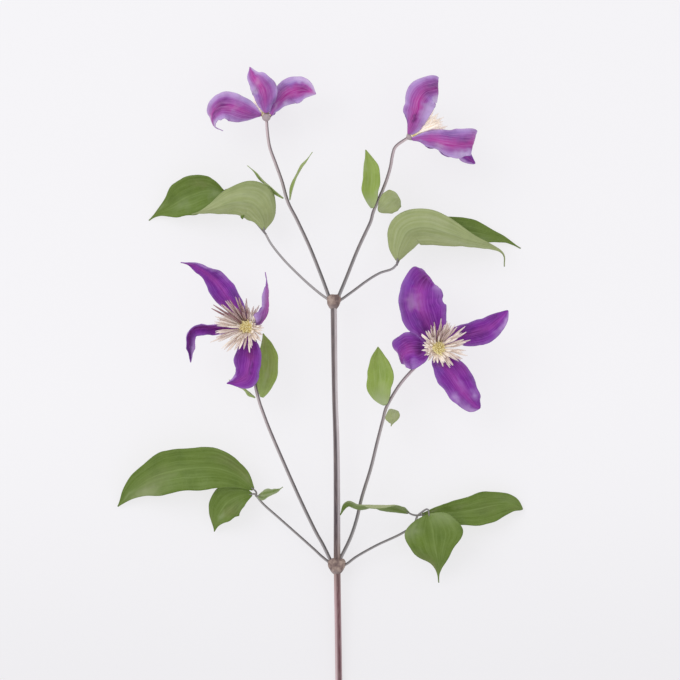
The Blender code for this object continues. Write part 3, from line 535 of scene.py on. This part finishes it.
def carpel_silk(colour):
    """Silky carpels: olive yellow at the foot, with pale shining hairs on the styles, and a faint painted
    glow.
    """
    made, tree, shader = new_material("carpel_silk", 0.5, 0.3, 0.2)
    place = add_node(tree, "ShaderNodeAttribute", attribute_name="reach")
    coords = add_node(tree, "ShaderNodeTexCoord")
    hairs = add_node(tree, "ShaderNodeTexNoise", {"Vector": coords.outputs["Object"], "Scale": 1 / 0.0008,
                                                  "Detail": 2.0})
    silk = add_node(tree, "ShaderNodeValToRGB", {"Fac": place.outputs["Fac"]}, stops=[
        (0.0, "#C4B160"), (0.5, colour), (1.0, "#EBE0AC")])
    pale = add_node(tree, "ShaderNodeValToRGB", {"Fac": hairs.outputs["Fac"]},
                    stops=[(0.45, 0.0), (0.7, 0.4)])
    tree.links.new(mixed(tree, pale.outputs["Color"], silk.outputs["Color"], linear("#E6DCB4")),
                   shader.inputs["Base Color"])
    # Painted light: the core glows a little, lightening its self-shadowed middle
    shader.inputs["Emission Color"].default_value = linear("#E8DCAC")
    shader.inputs["Emission Strength"].default_value = 0.1
    return made


def table_board():
    """White matt board, lit a little from below like a light table, so shadows stay faint."""
    made, tree, shader = new_material("table_board", 0.9, 0.1)
    coords = add_node(tree, "ShaderNodeTexCoord")
    tone = add_node(tree, "ShaderNodeTexNoise",
                    {"Vector": coords.outputs["Object"], "Scale": 0.8, "Detail": 1.0})
    pale = add_node(tree, "ShaderNodeValToRGB", {"Fac": tone.outputs["Fac"]}, stops=[
        (0.3, "#7C7B7F"), (0.7, "#807F82")])
    tree.links.new(pale.outputs["Color"], shader.inputs["Base Color"])
    shader.inputs["Emission Color"].default_value = linear("#FFFEFF")
    # Painted shade: the board's glow makes it a little dimmer from 60 mm below its middle down
    place = add_node(tree, "ShaderNodeSeparateXYZ", {0: coords.outputs["Object"]})
    glow = add_node(tree, "ShaderNodeMapRange",
                    {"Value": place.outputs["Y"], "From Min": -0.2, "From Max": 0.02, "To Min": 0.64,
                     "To Max": 0.705}, interpolation_type="SMOOTHSTEP")
    tree.links.new(glow.outputs[0], shader.inputs["Emission Strength"])
    return made


def smooth_route(rows, steps):
    """Points at even distances along a Catmull-Rom curve through the rows."""
    rows = [Vector(row) for row in rows]
    rows = [2 * rows[0] - rows[1], *rows, 2 * rows[-1] - rows[-2]]
    fine = []
    for a, b, c, d in zip(rows, rows[1:], rows[2:], rows[3:]):
        for k in range(ROUTE_STEPS):
            t = k / ROUTE_STEPS
            fine.append(0.5 * (2 * b + (c - a) * t + (2 * a - 5 * b + 4 * c - d) * t**2
                               + (3 * b - a - 3 * c + d) * t**3))
    fine.append(rows[-2])
    along = [0.0]
    for a, b in zip(fine, fine[1:]):
        along.append(along[-1] + (b.xyz - a.xyz).length)
    points, k = [], 0
    for step in range(steps + 1):
        goal = along[-1] * step / steps
        while k < len(fine) - 2 and along[k + 1] < goal:
            k += 1
        share = (goal - along[k]) / (along[k + 1] - along[k])
        points.append(fine[k].lerp(fine[k + 1], share))
    return points


def route_frames(rows, steps, face):
    """Point, side, normal and fourth column at each step; the first normal leans to the face."""
    rows = smooth_route(rows, steps)
    ends = [rows[0], *rows, rows[-1]]
    tangents = [(b.xyz - a.xyz).normalized() for a, b in zip(ends, ends[2:])]
    side = tangents[0].cross(face).normalized()
    frames = []
    for before, tangent, row in zip([tangents[0], *tangents], tangents, rows):
        side = before.rotation_difference(tangent) @ side
        frames.append((row.xyz, side, side.cross(tangent), row.w))
    return frames


def half_width(blade, u):
    """The outline: widest part way along, pointed at the tip and a little wide at the root."""
    fall = blade.rise * (1 - blade.widest) / blade.widest
    peak = blade.widest**blade.rise * (1 - blade.widest) ** fall
    swell = blade.half_width * u**blade.rise * (1 - u) ** fall / peak
    return TIP_HALF_WIDTH + blade.base * (1 - u) ** 4 + swell


def blade_point(blade, place, u, v):
    """A point of a blade, u of the way along the midrib and v of the way to an edge."""
    point, side, normal, roll = place
    turn = Quaternion(side.cross(normal), math.radians(roll))
    side, normal = turn @ side, turn @ normal
    fold, curl = (math.radians(a + (b - a) * u + 0.01) for a, b in (blade.fold, blade.curl))
    bent = fold + curl * abs(v)
    width = half_width(blade, u)
    width *= 1 + MARGIN_WAVE * noise.noise(Vector((5 * u, math.copysign(3, v), blade.midrib[0][0])))
    out = width * (math.sin(bent) - math.sin(fold)) / curl
    lift = width * (math.cos(fold) - math.cos(bent)) / curl
    height, waves, phase = blade.ruffle
    lift += height * v * v * math.sin(math.tau * (waves * u + phase) + v) * math.sin(math.pi * u)
    return point + side * math.copysign(out, v) + normal * lift


def tepal_blade(flower, blade):
    """The tepal moved onto its flower, rooted beside the receptacle."""
    axis = Vector(flower.axis).normalized()
    heading = Vector(blade.midrib[1][:3])
    heading = (heading - axis * heading.dot(axis)).normalized()
    root = heading * TEPAL_ROOT_RADIUS + axis * TEPAL_ROOT_HEIGHT
    rows = [(*root, blade.midrib[0][3])] + [tuple(row) for row in blade.midrib[1:]]
    rows = [(*(Vector(row[:3]) + Vector(flower.centre)), row[3]) for row in rows]
    return blade._replace(midrib=rows, face=axis - heading)


def swept_mesh(blade, along, across, ruffle):
    """A grid on a swept blade."""
    places = route_frames(blade.midrib, along, blade.face)
    return blade_mesh(lambda u, v: blade_point(blade, places[round(u * along)], u, -v),
                      along, across, ruffle)


def blade_mesh(point_at, along, across, ruffle):
    """A grid on a blade's surface, with crinkles from noise that grow towards the edges."""
    bm = bmesh.new()
    bm.loops.layers.uv.new("blade")
    bm.verts.layers.float.new("shade")
    bm.verts.layers.float.new("hue")
    bmesh.ops.create_grid(bm, x_segments=along, y_segments=across, size=1.0, calc_uvs=True)
    places = {vert: ((vert.co.x + 1) / 2, vert.co.y) for vert in bm.verts}
    for vert, (u, v) in places.items():
        vert.co = point_at(u, v)
    bm.normal_update()
    shifts = []
    for vert, (u, v) in places.items():
        deep = noise.noise(vert.co / CRINKLE_SIZE) * (0.35 + 0.65 * abs(v)) * ruffle
        fine = noise.noise(vert.co / FINE_CRINKLE_SIZE) * 0.25 * ruffle
        shifts.append(vert.normal * (deep + fine) * min(1.0, 6 * u, 6 * (1 - u)))
    for vert, shift in zip(bm.verts, shifts):
        vert.co += shift
    return bm, places


def finish_blade(name, bm, places, thickness, materials, marks):
    """Make the blade's object with its attributes, thickness, two materials and CAD body."""
    shade, hue = bm.verts.layers.float["shade"], bm.verts.layers.float["hue"]
    for vert, (u, v) in places.items():
        vert[shade], vert[hue] = marks(u, v, vert.co)
        vert.co = (vert.co + SHIFT) * MM
        vert.co.z = max(vert.co.z, thickness / 2)
    mesh = bpy.data.meshes.new(name)
    bm.to_mesh(mesh)
    bm.free()
    mesh.shade_smooth()
    for surface in materials:
        mesh.materials.append(surface)
    obj = link_piece(name, mesh)
    solid = obj.modifiers.new("thickness", "SOLIDIFY")
    solid.thickness = thickness
    solid.offset = 0
    solid.material_offset = 1
    return obj


def link_piece(name, mesh):
    """An object for the mesh that rides on the stem's body and stands for the CAD node of that name."""
    obj = bpy.data.objects.new(name + "_shown", mesh)
    bpy.context.scene.collection.objects.link(obj)
    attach(obj, BODY)
    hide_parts(name)
    return obj


def add_tube(bm, rows, sides, steps, layers, rib=0.0, cut_slope=0.0):
    """A tube rolled up from a grid, along rows of x, y, z and radius.

    layers holds functions that give each layer's value from how far along a point is, and how far
    to the right of the tube's heading: -1 to 1."""
    frames = route_frames(rows, steps, UP)
    made = bmesh.ops.create_grid(bm, x_segments=steps, y_segments=sides, size=1.0)["verts"]
    for vert in made:
        along, turn = (vert.co.x + 1) / 2, math.pi * (vert.co.y + 1)
        point, side, normal, radius = frames[round(along * steps)]
        radius *= 1 + rib * math.cos(STEM_RIBS * turn)
        vert.co = point + (side * math.cos(turn) + normal * math.sin(turn)) * radius
        if cut_slope and along == 0:
            vert.co += normal.cross(side) * cut_slope * (vert.co - point).dot(normal)
        for layer, value in layers.items():
            vert[layer] = value(along, math.cos(turn))
    bmesh.ops.remove_doubles(bm, verts=made, dist=1e-4)


def close_piece(name, bm, surface):
    """Cap the open ends, turn the faces outwards and make the object."""
    bmesh.ops.holes_fill(bm, edges=[edge for edge in bm.edges if edge.is_boundary])
    bmesh.ops.recalc_face_normals(bm, faces=bm.faces)
    for vert in bm.verts:
        vert.co = (vert.co + SHIFT) * MM
        vert.co.z = max(vert.co.z, 0.0)
    mesh = bpy.data.meshes.new(name)
    bm.to_mesh(mesh)
    bm.free()
    mesh.shade_smooth()
    mesh.materials.append(surface)
    return link_piece(name, mesh)


def set_down(bm, root, clear):
    """Bend a blade from its root until its lowest point, less half its thickness, is on the table."""
    lowest = min(bm.verts, key=lambda vert: vert.co.z).co.copy()
    for vert in bm.verts:
        share = min(1.0, (vert.co.xy - root.xy).length / (lowest.xy - root.xy).length)
        vert.co.z -= (lowest.z - clear) * share**2


def ease(x):
    """0 below 0, 1 above 1 and smooth between."""
    x = min(1.0, max(0.0, x))
    return x * x * (3 - 2 * x)


def blade_spots(name):
    """Soft spots on a blade: u, v, half length, half breadth, shade and hue, drawn from its name."""
    rng = random.Random("spots of " + name)
    petal = "tepal" in name
    depth = 1.0 if petal else 0.45
    spots = []
    for k in range(SPOT_COUNT):
        u, v = (k + rng.uniform(0.2, 0.8)) / SPOT_COUNT, rng.uniform(-0.95, 0.95)
        paler = rng.uniform(-0.9, 0.6) + 0.5 * u * abs(v)
        spots.append((u, v, rng.uniform(0.06, 0.14), rng.uniform(0.15, 0.45), depth * paler,
                      depth * rng.uniform(-0.6, 0.4)))
    if petal:
        warmth = 1.0 if name.startswith(OUTSIDE_SHOWN) else 0.45
        spots.append((rng.uniform(0.4, 0.6), rng.uniform(-0.15, 0.15), 0.32, 0.3, 0.1 - 0.3 * warmth, warmth))
        spots.append((rng.uniform(0.7, 0.9), rng.choice((-0.8, 0.8)), 0.16, 0.3, 0.8, -0.3))
    return spots


def blade_marks(name):
    """A function that gives a blade's shade and hue, each from -1 to 1, at u, v and a point on it."""
    marking = MARKINGS.get(name, Marking())
    spots = blade_spots(name)

    def marks(u, v, point):
        shade = marking.left * ease(1.6 * v - 0.6) + marking.right * ease(-1.6 * v - 0.6)
        shade += marking.middle * ease(1 - 2.2 * abs(v))
        shade += marking.root * ease(1 - u / 0.35) + marking.tip * ease((u - 0.7) / 0.3)
        hue = 0.0
        frayed = noise.noise_vector(point / 2.5)
        for along, across, length, breadth, lighter, warmer in spots:
            far = ((u + 0.05 * frayed.x - along) / length) ** 2
            far += ((v + 0.2 * frayed.y - across) / breadth) ** 2
            shade += lighter * math.exp(-0.9 * far)
            hue += warmer * math.exp(-0.9 * far)
        return max(-1.0, min(1.0, shade)), max(-1.0, min(1.0, hue))
    return marks


def tapered(rows, start, end):
    """Rows with a radius column that narrows evenly from the first to the last."""
    return [(*row, start + (end - start) * k / (len(rows) - 1)) for k, row in enumerate(rows)]


def painted_stem_light(along, side):
    """How much painted light the main stem takes, from its shaded copy at 0 to its lit copy at 1: below the
    lower node on its left, above it on its right.
    """
    low = max(ease((-side - 0.05) / 0.6), 0.7 * ease((side - 0.55) / 0.4))
    high = max(ease((side - 0.05) / 0.45), 0.35 * ease((-side - 0.7) / 0.3))
    return low + (high - low) * ease((along - 0.40) / 0.04)


def flower_matrix(flower):
    """The place and turn of a flower: its centre, with +Z along its axis."""
    turn = UP.rotation_difference(Vector(flower.axis)).to_matrix().to_4x4()
    return Matrix.Translation(Vector(flower.centre)) @ turn


def stamen_rows(matrix, root, turn, lean, length, bow):
    """Rows of x, y, z and radius for a stamen that leans out more towards its tip."""
    rows = []
    reach, height = root, STAMEN_FOOT
    for k, width in enumerate(STAMEN_WIDTHS):
        rows.append((*(matrix @ Vector((reach * math.cos(turn), reach * math.sin(turn), height))), width))
        angle = lean * (0.5 + 0.09 * k) + bow * k / 6
        reach += length / 6 * math.sin(angle)
        height += length / 6 * math.cos(angle)
    return rows


def is_clear(rows, petals, gap):
    """Whether a stamen keeps its distance from the tepals."""
    points = [(Vector(row[:3]) + SHIFT) * MM for row in rows]
    points += [(a + b) / 2 for a, b in zip(points, points[1:])]
    return all(petals.find_nearest(point)[3] > gap for point in points)


class StemSizes(bpy.types.PropertyGroup):
    """Sizes that the clematis is drawn with."""

    petal_thickness: FloatProperty(
        name="Petal thickness", description="Thickness of a tepal", default=0.35 * MM, unit="LENGTH")
    leaf_thickness: FloatProperty(
        name="Leaf thickness", description="Thickness of a leaflet or bract", default=0.35 * MM,
        unit="LENGTH")
    petal_crinkle: FloatProperty(
        name="Petal crinkle", description="Height of the crinkles in a tepal", default=1.0 * MM,
        unit="LENGTH")
    leaf_crinkle: FloatProperty(
        name="Leaf crinkle", description="Height of the crinkles in a leaf", default=0.7 * MM, unit="LENGTH")
    thread_radius: FloatProperty(
        name="Thread radius", description="Radius of a stamen's thread", default=0.35 * MM, unit="LENGTH")
    stamen_count: IntProperty(
        name="Stamens", description="Stamens in each flower", default=150, min=12, max=160)
    style_count: IntProperty(
        name="Styles", description="Styles in each flower's core", default=44, min=5, max=60)
    rib_depth: FloatProperty(
        name="Rib depth", description="Depth of the stem's ribs as a share of its radius", default=0.06,
        subtype="FACTOR", min=0.0, max=0.2)


def colour_setting(name, description, code):
    return FloatVectorProperty(name=name, description=description, default=linear(code)[:3], size=3,
                               subtype="COLOR", min=0.0, max=1.0)


class StemColours(bpy.types.PropertyGroup):
    """Colours of the clematis."""

    petal_inside: colour_setting("Petal inside", "Inner face of the tepals", "#7A2B94")
    petal_outside: colour_setting("Petal outside", "Outer face of the tepals", "#9B55A3")
    leaf_upper: colour_setting("Leaf upper side", "Upper side of the leaflets", "#60762A")
    leaf_underside: colour_setting("Leaf underside", "Underside of the leaflets", "#9BA56E")
    bract: colour_setting("Bract", "Upper side of the bracts", "#8AA046")
    stamens: colour_setting("Stamens", "Anthers", "#F7ECDD")
    styles: colour_setting("Styles", "Styles in the flowers' cores", "#DCCB7E")


class StageSettings(bpy.types.PropertyGroup):
    """The light on the stem and the table it lies on."""

    key_power: FloatProperty(
        name="Key light", description="Power of the soft light at the upper left", default=12.0, unit="POWER")
    sky_strength: FloatProperty(
        name="Sky", description="Strength of the even light from all round", default=0.86)
    sky_colour: FloatVectorProperty(
        name="Sky colour", description="Colour of the even light", default=linear("#FBFBFF")[:3],
        size=3, subtype="COLOR", min=0.0, max=1.0)
    camera_height: FloatProperty(
        name="Camera height", description="Height of the camera over the table", default=2.0983,
        unit="LENGTH")


class AddLeaves(bpy.types.Operator):
    """Add the ten leaflets, set down where they touch the table"""

    bl_idname = "clematis.add_leaves"
    bl_label = "Add leaves"

    def execute(self, context):
        sizes = context.scene.clematis_sizes
        colours = context.scene.clematis_colours
        top = leaf_face("leaf_upper_side", colours.leaf_upper, "#4F661E", "#7F9350", "#869A58", 0.45, 0.0003)
        below = leaf_face("leaf_underside", colours.leaf_underside, "#8A9660", "#86925E", "#BCC49E",
                          0.6, 0.0005)
        for name, blade in LEAFLETS.items():
            bm, places = swept_mesh(blade, *LEAF_GRID, sizes.leaf_crinkle / MM)
            if name in TABLE_LEAFLETS:
                set_down(bm, Vector(blade.midrib[0][:3]), sizes.leaf_thickness / MM / 2)
            piece = finish_blade(name, bm, places, sizes.leaf_thickness, (top, below), blade_marks(name))
        return {"FINISHED"}


class AddBracts(bpy.types.Operator):
    """Add the eight bracts below the flowers"""

    bl_idname = "clematis.add_bracts"
    bl_label = "Add bracts"

    def execute(self, context):
        sizes = context.scene.clematis_sizes
        colours = context.scene.clematis_colours
        top = leaf_face("bract_upper_side", colours.bract, "#748A38", "#A0B468", "#A6B878", 0.45, 0.0003)
        below = leaf_face("bract_underside", colours.leaf_underside, "#8A9468", "#8E9A6A", "#B4BC98",
                          0.6, 0.0004)
        for name, blade in BRACTS.items():
            bm, places = swept_mesh(blade, *BRACT_GRID, sizes.leaf_crinkle / MM * 0.5)
            piece = finish_blade(name, bm, places, sizes.leaf_thickness, (top, below), blade_marks(name))
        return {"FINISHED"}


class AddTepals(bpy.types.Operator):
    """Add the sixteen tepals, four to a flower"""

    bl_idname = "clematis.add_tepals"
    bl_label = "Add tepals"

    def execute(self, context):
        sizes = context.scene.clematis_sizes
        colours = context.scene.clematis_colours
        inner, outer = petal_inside(colours.petal_inside), petal_outside(colours.petal_outside)
        for key, flower in FLOWERS.items():
            for where, blade in flower.tepals.items():
                name = f"flower_{key}_tepal_{where}"
                bm, places = swept_mesh(tepal_blade(flower, blade), *TEPAL_GRID, sizes.petal_crinkle / MM)
                piece = finish_blade(name, bm, places, sizes.petal_thickness, (inner, outer),
                                     blade_marks(name))
        return {"FINISHED"}


class AddStamens(bpy.types.Operator):
    """Add each flower's ring of stamens, kept clear of the tepals"""

    bl_idname = "clematis.add_stamens"
    bl_label = "Add stamens"

    def execute(self, context):
        sizes = context.scene.clematis_sizes
        surface = stamen_threads(context.scene.clematis_colours.stamens)
        for key, flower in FLOWERS.items():
            tepals = bmesh.new()
            for obj in context.scene.objects:
                if obj.name.startswith(f"flower_{key}_tepal") and obj.name.endswith("_shown"):
                    tepals.from_mesh(obj.data)
            petals = BVHTree.FromBMesh(tepals)
            tepals.free()
            rng = random.Random("stamens of " + key)
            matrix = flower_matrix(flower)
            bm = bmesh.new()
            reach = bm.verts.layers.float.new("reach")
            tint = bm.verts.layers.float.new("tint")
            for k in range(sizes.stamen_count):
                share = (k + 0.5) / sizes.stamen_count
                turn = k * GOLDEN_ANGLE + rng.uniform(-0.15, 0.15)
                lean = math.radians(22 + 56 * share**0.8) * (0.35 + 0.65 * flower.spread)
                lean *= rng.uniform(0.85, 1.12)
                away = (matrix.to_3x3() @ Vector((math.cos(turn), math.sin(turn), 0))).xy.normalized()
                length = flower.length * rng.uniform(0.75, 1.1) * (1 + away.dot(Vector(flower.drawn)))
                bow = math.radians(rng.uniform(-8, 16)) * flower.spread
                root = (1.8 + share) * (0.5 + 0.5 * flower.spread)
                rows = stamen_rows(matrix, root, turn, lean, length, bow)
                while lean > LEAST_LEAN and not is_clear(rows, petals, STAMEN_GAP * MM):
                    lean -= math.radians(4)
                    length *= 0.98
                    rows = stamen_rows(matrix, root, turn, lean, length, bow)
                if not is_clear(rows, petals, LEAST_STAMEN_GAP * MM):
                    continue
                thread = sizes.thread_radius / MM
                rows = [(*row[:3], row[3] * thread) for row in rows]
                blush = ease((away.dot(Vector(flower.blush)) - 0.3) / 0.6) * rng.uniform(0.4, 1.0)
                blush = max(blush, rng.uniform(0.1, 0.5) * flower.spread**2)
                add_tube(bm, rows, 5, 9, {reach: lambda along, side: along, tint: lambda along, side: blush})
            bmesh.ops.create_icosphere(
                bm, subdivisions=2, radius=1.0,
                matrix=matrix @ Matrix.LocRotScale((0, 0, STAMEN_FOOT + 1.0), None,
                                                  Vector((3.7, 3.7, 2.6)) * (0.4 + 0.6 * flower.spread)))
            obj = close_piece(f"flower_{key}_stamens", bm, surface)
        return {"FINISHED"}


class AddCarpels(bpy.types.Operator):
    """Add the silky core of carpels and styles to each flower"""

    bl_idname = "clematis.add_carpels"
    bl_label = "Add carpels"

    def execute(self, context):
        sizes = context.scene.clematis_sizes
        surface = carpel_silk(context.scene.clematis_colours.styles)
        for key, flower in FLOWERS.items():
            rng = random.Random("carpels of " + key)
            matrix = flower_matrix(flower)
            bm = bmesh.new()
            reach = bm.verts.layers.float.new("reach")
            for k in range(sizes.style_count):
                share = (k + 0.5) / sizes.style_count
                turn, out = k * GOLDEN_ANGLE, 2.4 * math.sqrt(share)
                top = CARPEL_FOOT + rng.uniform(6.0, 8.0) - 1.5 * share
                spread = out * rng.uniform(1.4, 2.0)
                twist = turn + rng.uniform(0.2, 0.7)
                ends = ((out, turn, CARPEL_FOOT - 1.2, 0.5), (out * 1.1, turn, CARPEL_FOOT + 2.0, 0.6),
                        (out * 1.25, (turn + twist) / 2, CARPEL_FOOT + 4.0, 0.5), (spread, twist, top, 0.2))
                rows = [(*(matrix @ Vector((r * math.cos(t), r * math.sin(t), z))), radius)
                        for r, t, z, radius in ends]
                add_tube(bm, rows, 6, 8, {reach: lambda along, side: along})
            obj = close_piece(f"flower_{key}_carpels", bm, surface)
        return {"FINISHED"}


class AddStem(bpy.types.Operator):
    """Add the main stem, its nodes, the flower and leaf stalks and the receptacles as one piece"""

    bl_idname = "clematis.add_stem"
    bl_label = "Add stem"

    def execute(self, context):
        sizes = context.scene.clematis_sizes
        bm = bmesh.new()
        young = bm.verts.layers.float.new("young")
        # The lit layer is painted light and shade: a point takes the bark's shaded copy at 0 and its lit copy
        # at 1
        lit = bm.verts.layers.float.new("lit")
        knot = bm.verts.layers.float.new("node")
        # The main stem is painted lighter on one side: on its left below the lower node, on its right above
        # it
        add_tube(bm, MAIN_STEM, 24, 90, {young: lambda along, side: 0.6 * along, lit: painted_stem_light},
                 sizes.rib_depth, CUT_SLOPE)
        for rows in NODES:
            # Each node is painted lighter on its left
            before = set(bm.verts)
            add_tube(bm, rows, 28, 20,
                     {young: lambda along, side: 0.27, lit: lambda along, side: 0.5 - 0.4 * side,
                      knot: lambda along, side: ease(2.2 * along)}, 0.05)
            for vert in set(bm.verts) - before:
                vert.co += noise.noise_vector(vert.co / 2.0) * 0.25
                vert.co.z = rows[3][2] + (vert.co.z - rows[3][2]) * 0.7
        for name, rows in BRANCHES.items():
            outer = 1 if name[-1] in "bd" else -1
            # Each stalk is painted lighter on its outer side, and more so towards its end
            layers = {young: lambda along, side: 0.7 + 0.3 * along**2,
                      lit: lambda along, side: ease((outer * side + 0.3 + 0.5 * along**2) / 1.0)}
            if name.startswith("pedicel"):
                flower = FLOWERS[name[-1]]
                rows = tapered(rows + [tuple(flower.centre)], 0.92, 0.78)
                add_tube(bm, rows, 16, 60, layers, sizes.rib_depth)
                matrix = flower_matrix(flower)
                profile = ((0.9, -2.2), (1.5, -1.5), (2.2, -0.7), (2.4, 0.2), (2.0, 1.0))
                rows = [(*(matrix @ Vector((0, 0, height))), radius) for radius, height in profile]
                # Each receptacle takes the lit and shaded copies of the bark half and half
                add_tube(bm, rows, 16, 8, {young: lambda along, side: 1.0, lit: lambda along, side: 0.5})
            else:
                layers[young] = lambda along, side: 0.7
                # petiole_a is painted almost wholly with the lit copy of the bark
                if name == "petiole_a":
                    layers[lit] = lambda along, side: 0.9
                add_tube(bm, tapered(rows, 0.72, 0.58), 12, 40, layers, sizes.rib_depth)
        for name, blade in LEAFLETS.items():
            joint = Vector(BRANCHES[LEAFLET_PETIOLES[name]][-1])
            base, after = (Vector(row[:3]) for row in blade.midrib[:2])
            back = (base - after).normalized()
            bend = base + back * min(3.0, (base - joint).length / 2)
            rows = [joint + (joint - bend).normalized() * 0.5, bend, base - back * 1.5]
            # The leaflets' stalks take a little less than half of the painted light
            add_tube(bm, tapered([tuple(row) for row in rows], 0.6, 0.42), 10, 12,
                     {young: lambda along, side: 0.7, lit: lambda along, side: 0.4})
        close_piece("stem", bm, stem_bark())
        return {"FINISHED"}


class AddStage(bpy.types.Operator):
    """Add the pale board, the soft light and the camera above the stem"""

    bl_idname = "clematis.add_stage"
    bl_label = "Add stage"

    def execute(self, context):
        settings = context.scene.clematis_stage
        bm = bmesh.new()
        bmesh.ops.create_grid(bm, x_segments=1, y_segments=1, size=TABLE_SIZE)
        mesh = bpy.data.meshes.new("table")
        bm.to_mesh(mesh)
        bm.free()
        mesh.materials.append(table_board())
        table = bpy.data.objects.new("table", mesh)
        context.scene.collection.objects.link(table)

        world = bpy.data.worlds.new("soft_sky")
        world.use_nodes = True
        sky = world.node_tree.nodes["Background"]
        sky.inputs["Color"].default_value = (*settings.sky_colour, 1.0)
        sky.inputs["Strength"].default_value = settings.sky_strength
        context.scene.world = world

        key = bpy.data.lights.new("key_light", "AREA")
        key.shape = "DISK"
        key.size = 1.4
        key.energy = settings.key_power
        lamp = bpy.data.objects.new("key_light", key)
        lamp.location = (-1.1, 0.9, 1.7)
        lamp.rotation_euler = (Vector((0, 0.02, 0.02)) - lamp.location).to_track_quat("-Z", "Y").to_euler()
        context.scene.collection.objects.link(lamp)

        view = bpy.data.cameras.new("camera")
        view.lens = 200.0
        view.sensor_width = 36.0
        view.clip_end = 20.0
        camera = bpy.data.objects.new("camera", view)
        camera.location = (VIEW_CENTRE + SHIFT) * MM + Vector((0, 0, settings.camera_height))
        context.scene.collection.objects.link(camera)
        context.scene.camera = camera
        context.scene.view_settings.view_transform = "Standard"
        return {"FINISHED"}


class ClematisPanel(bpy.types.Panel):
    """Lists the pieces of the clematis stem"""

    bl_idname = "VIEW3D_PT_clematis"
    bl_label = "Clematis stem"
    bl_space_type = "VIEW_3D"
    bl_region_type = "UI"
    bl_category = "Clematis"

    def draw(self, context):
        layout = self.layout
        scene = context.scene
        for group in (scene.clematis_sizes, scene.clematis_colours, scene.clematis_stage):
            for name in group.__annotations__:
                layout.prop(group, name)
        for operator in OPERATORS:
            layout.operator(operator.bl_idname)


OPERATORS = (AddLeaves, AddBracts, AddTepals, AddStamens, AddCarpels, AddStem, AddStage)
CLASSES = (StemSizes, StemColours, StageSettings, *OPERATORS, ClematisPanel)


def register():
    for made in CLASSES:
        bpy.utils.register_class(made)
    bpy.types.Scene.clematis_sizes = PointerProperty(type=StemSizes)
    bpy.types.Scene.clematis_colours = PointerProperty(type=StemColours)
    bpy.types.Scene.clematis_stage = PointerProperty(type=StageSettings)


def unregister():
    del bpy.types.Scene.clematis_stage
    del bpy.types.Scene.clematis_colours
    del bpy.types.Scene.clematis_sizes
    for made in reversed(CLASSES):
        bpy.utils.unregister_class(made)


def main():
    register()
    bpy.ops.clematis.add_leaves()
    bpy.ops.clematis.add_bracts()
    bpy.ops.clematis.add_tepals()
    bpy.ops.clematis.add_stamens()
    bpy.ops.clematis.add_carpels()
    bpy.ops.clematis.add_stem()
    bpy.ops.clematis.add_stage()


if __name__ == "__main__":
    main()
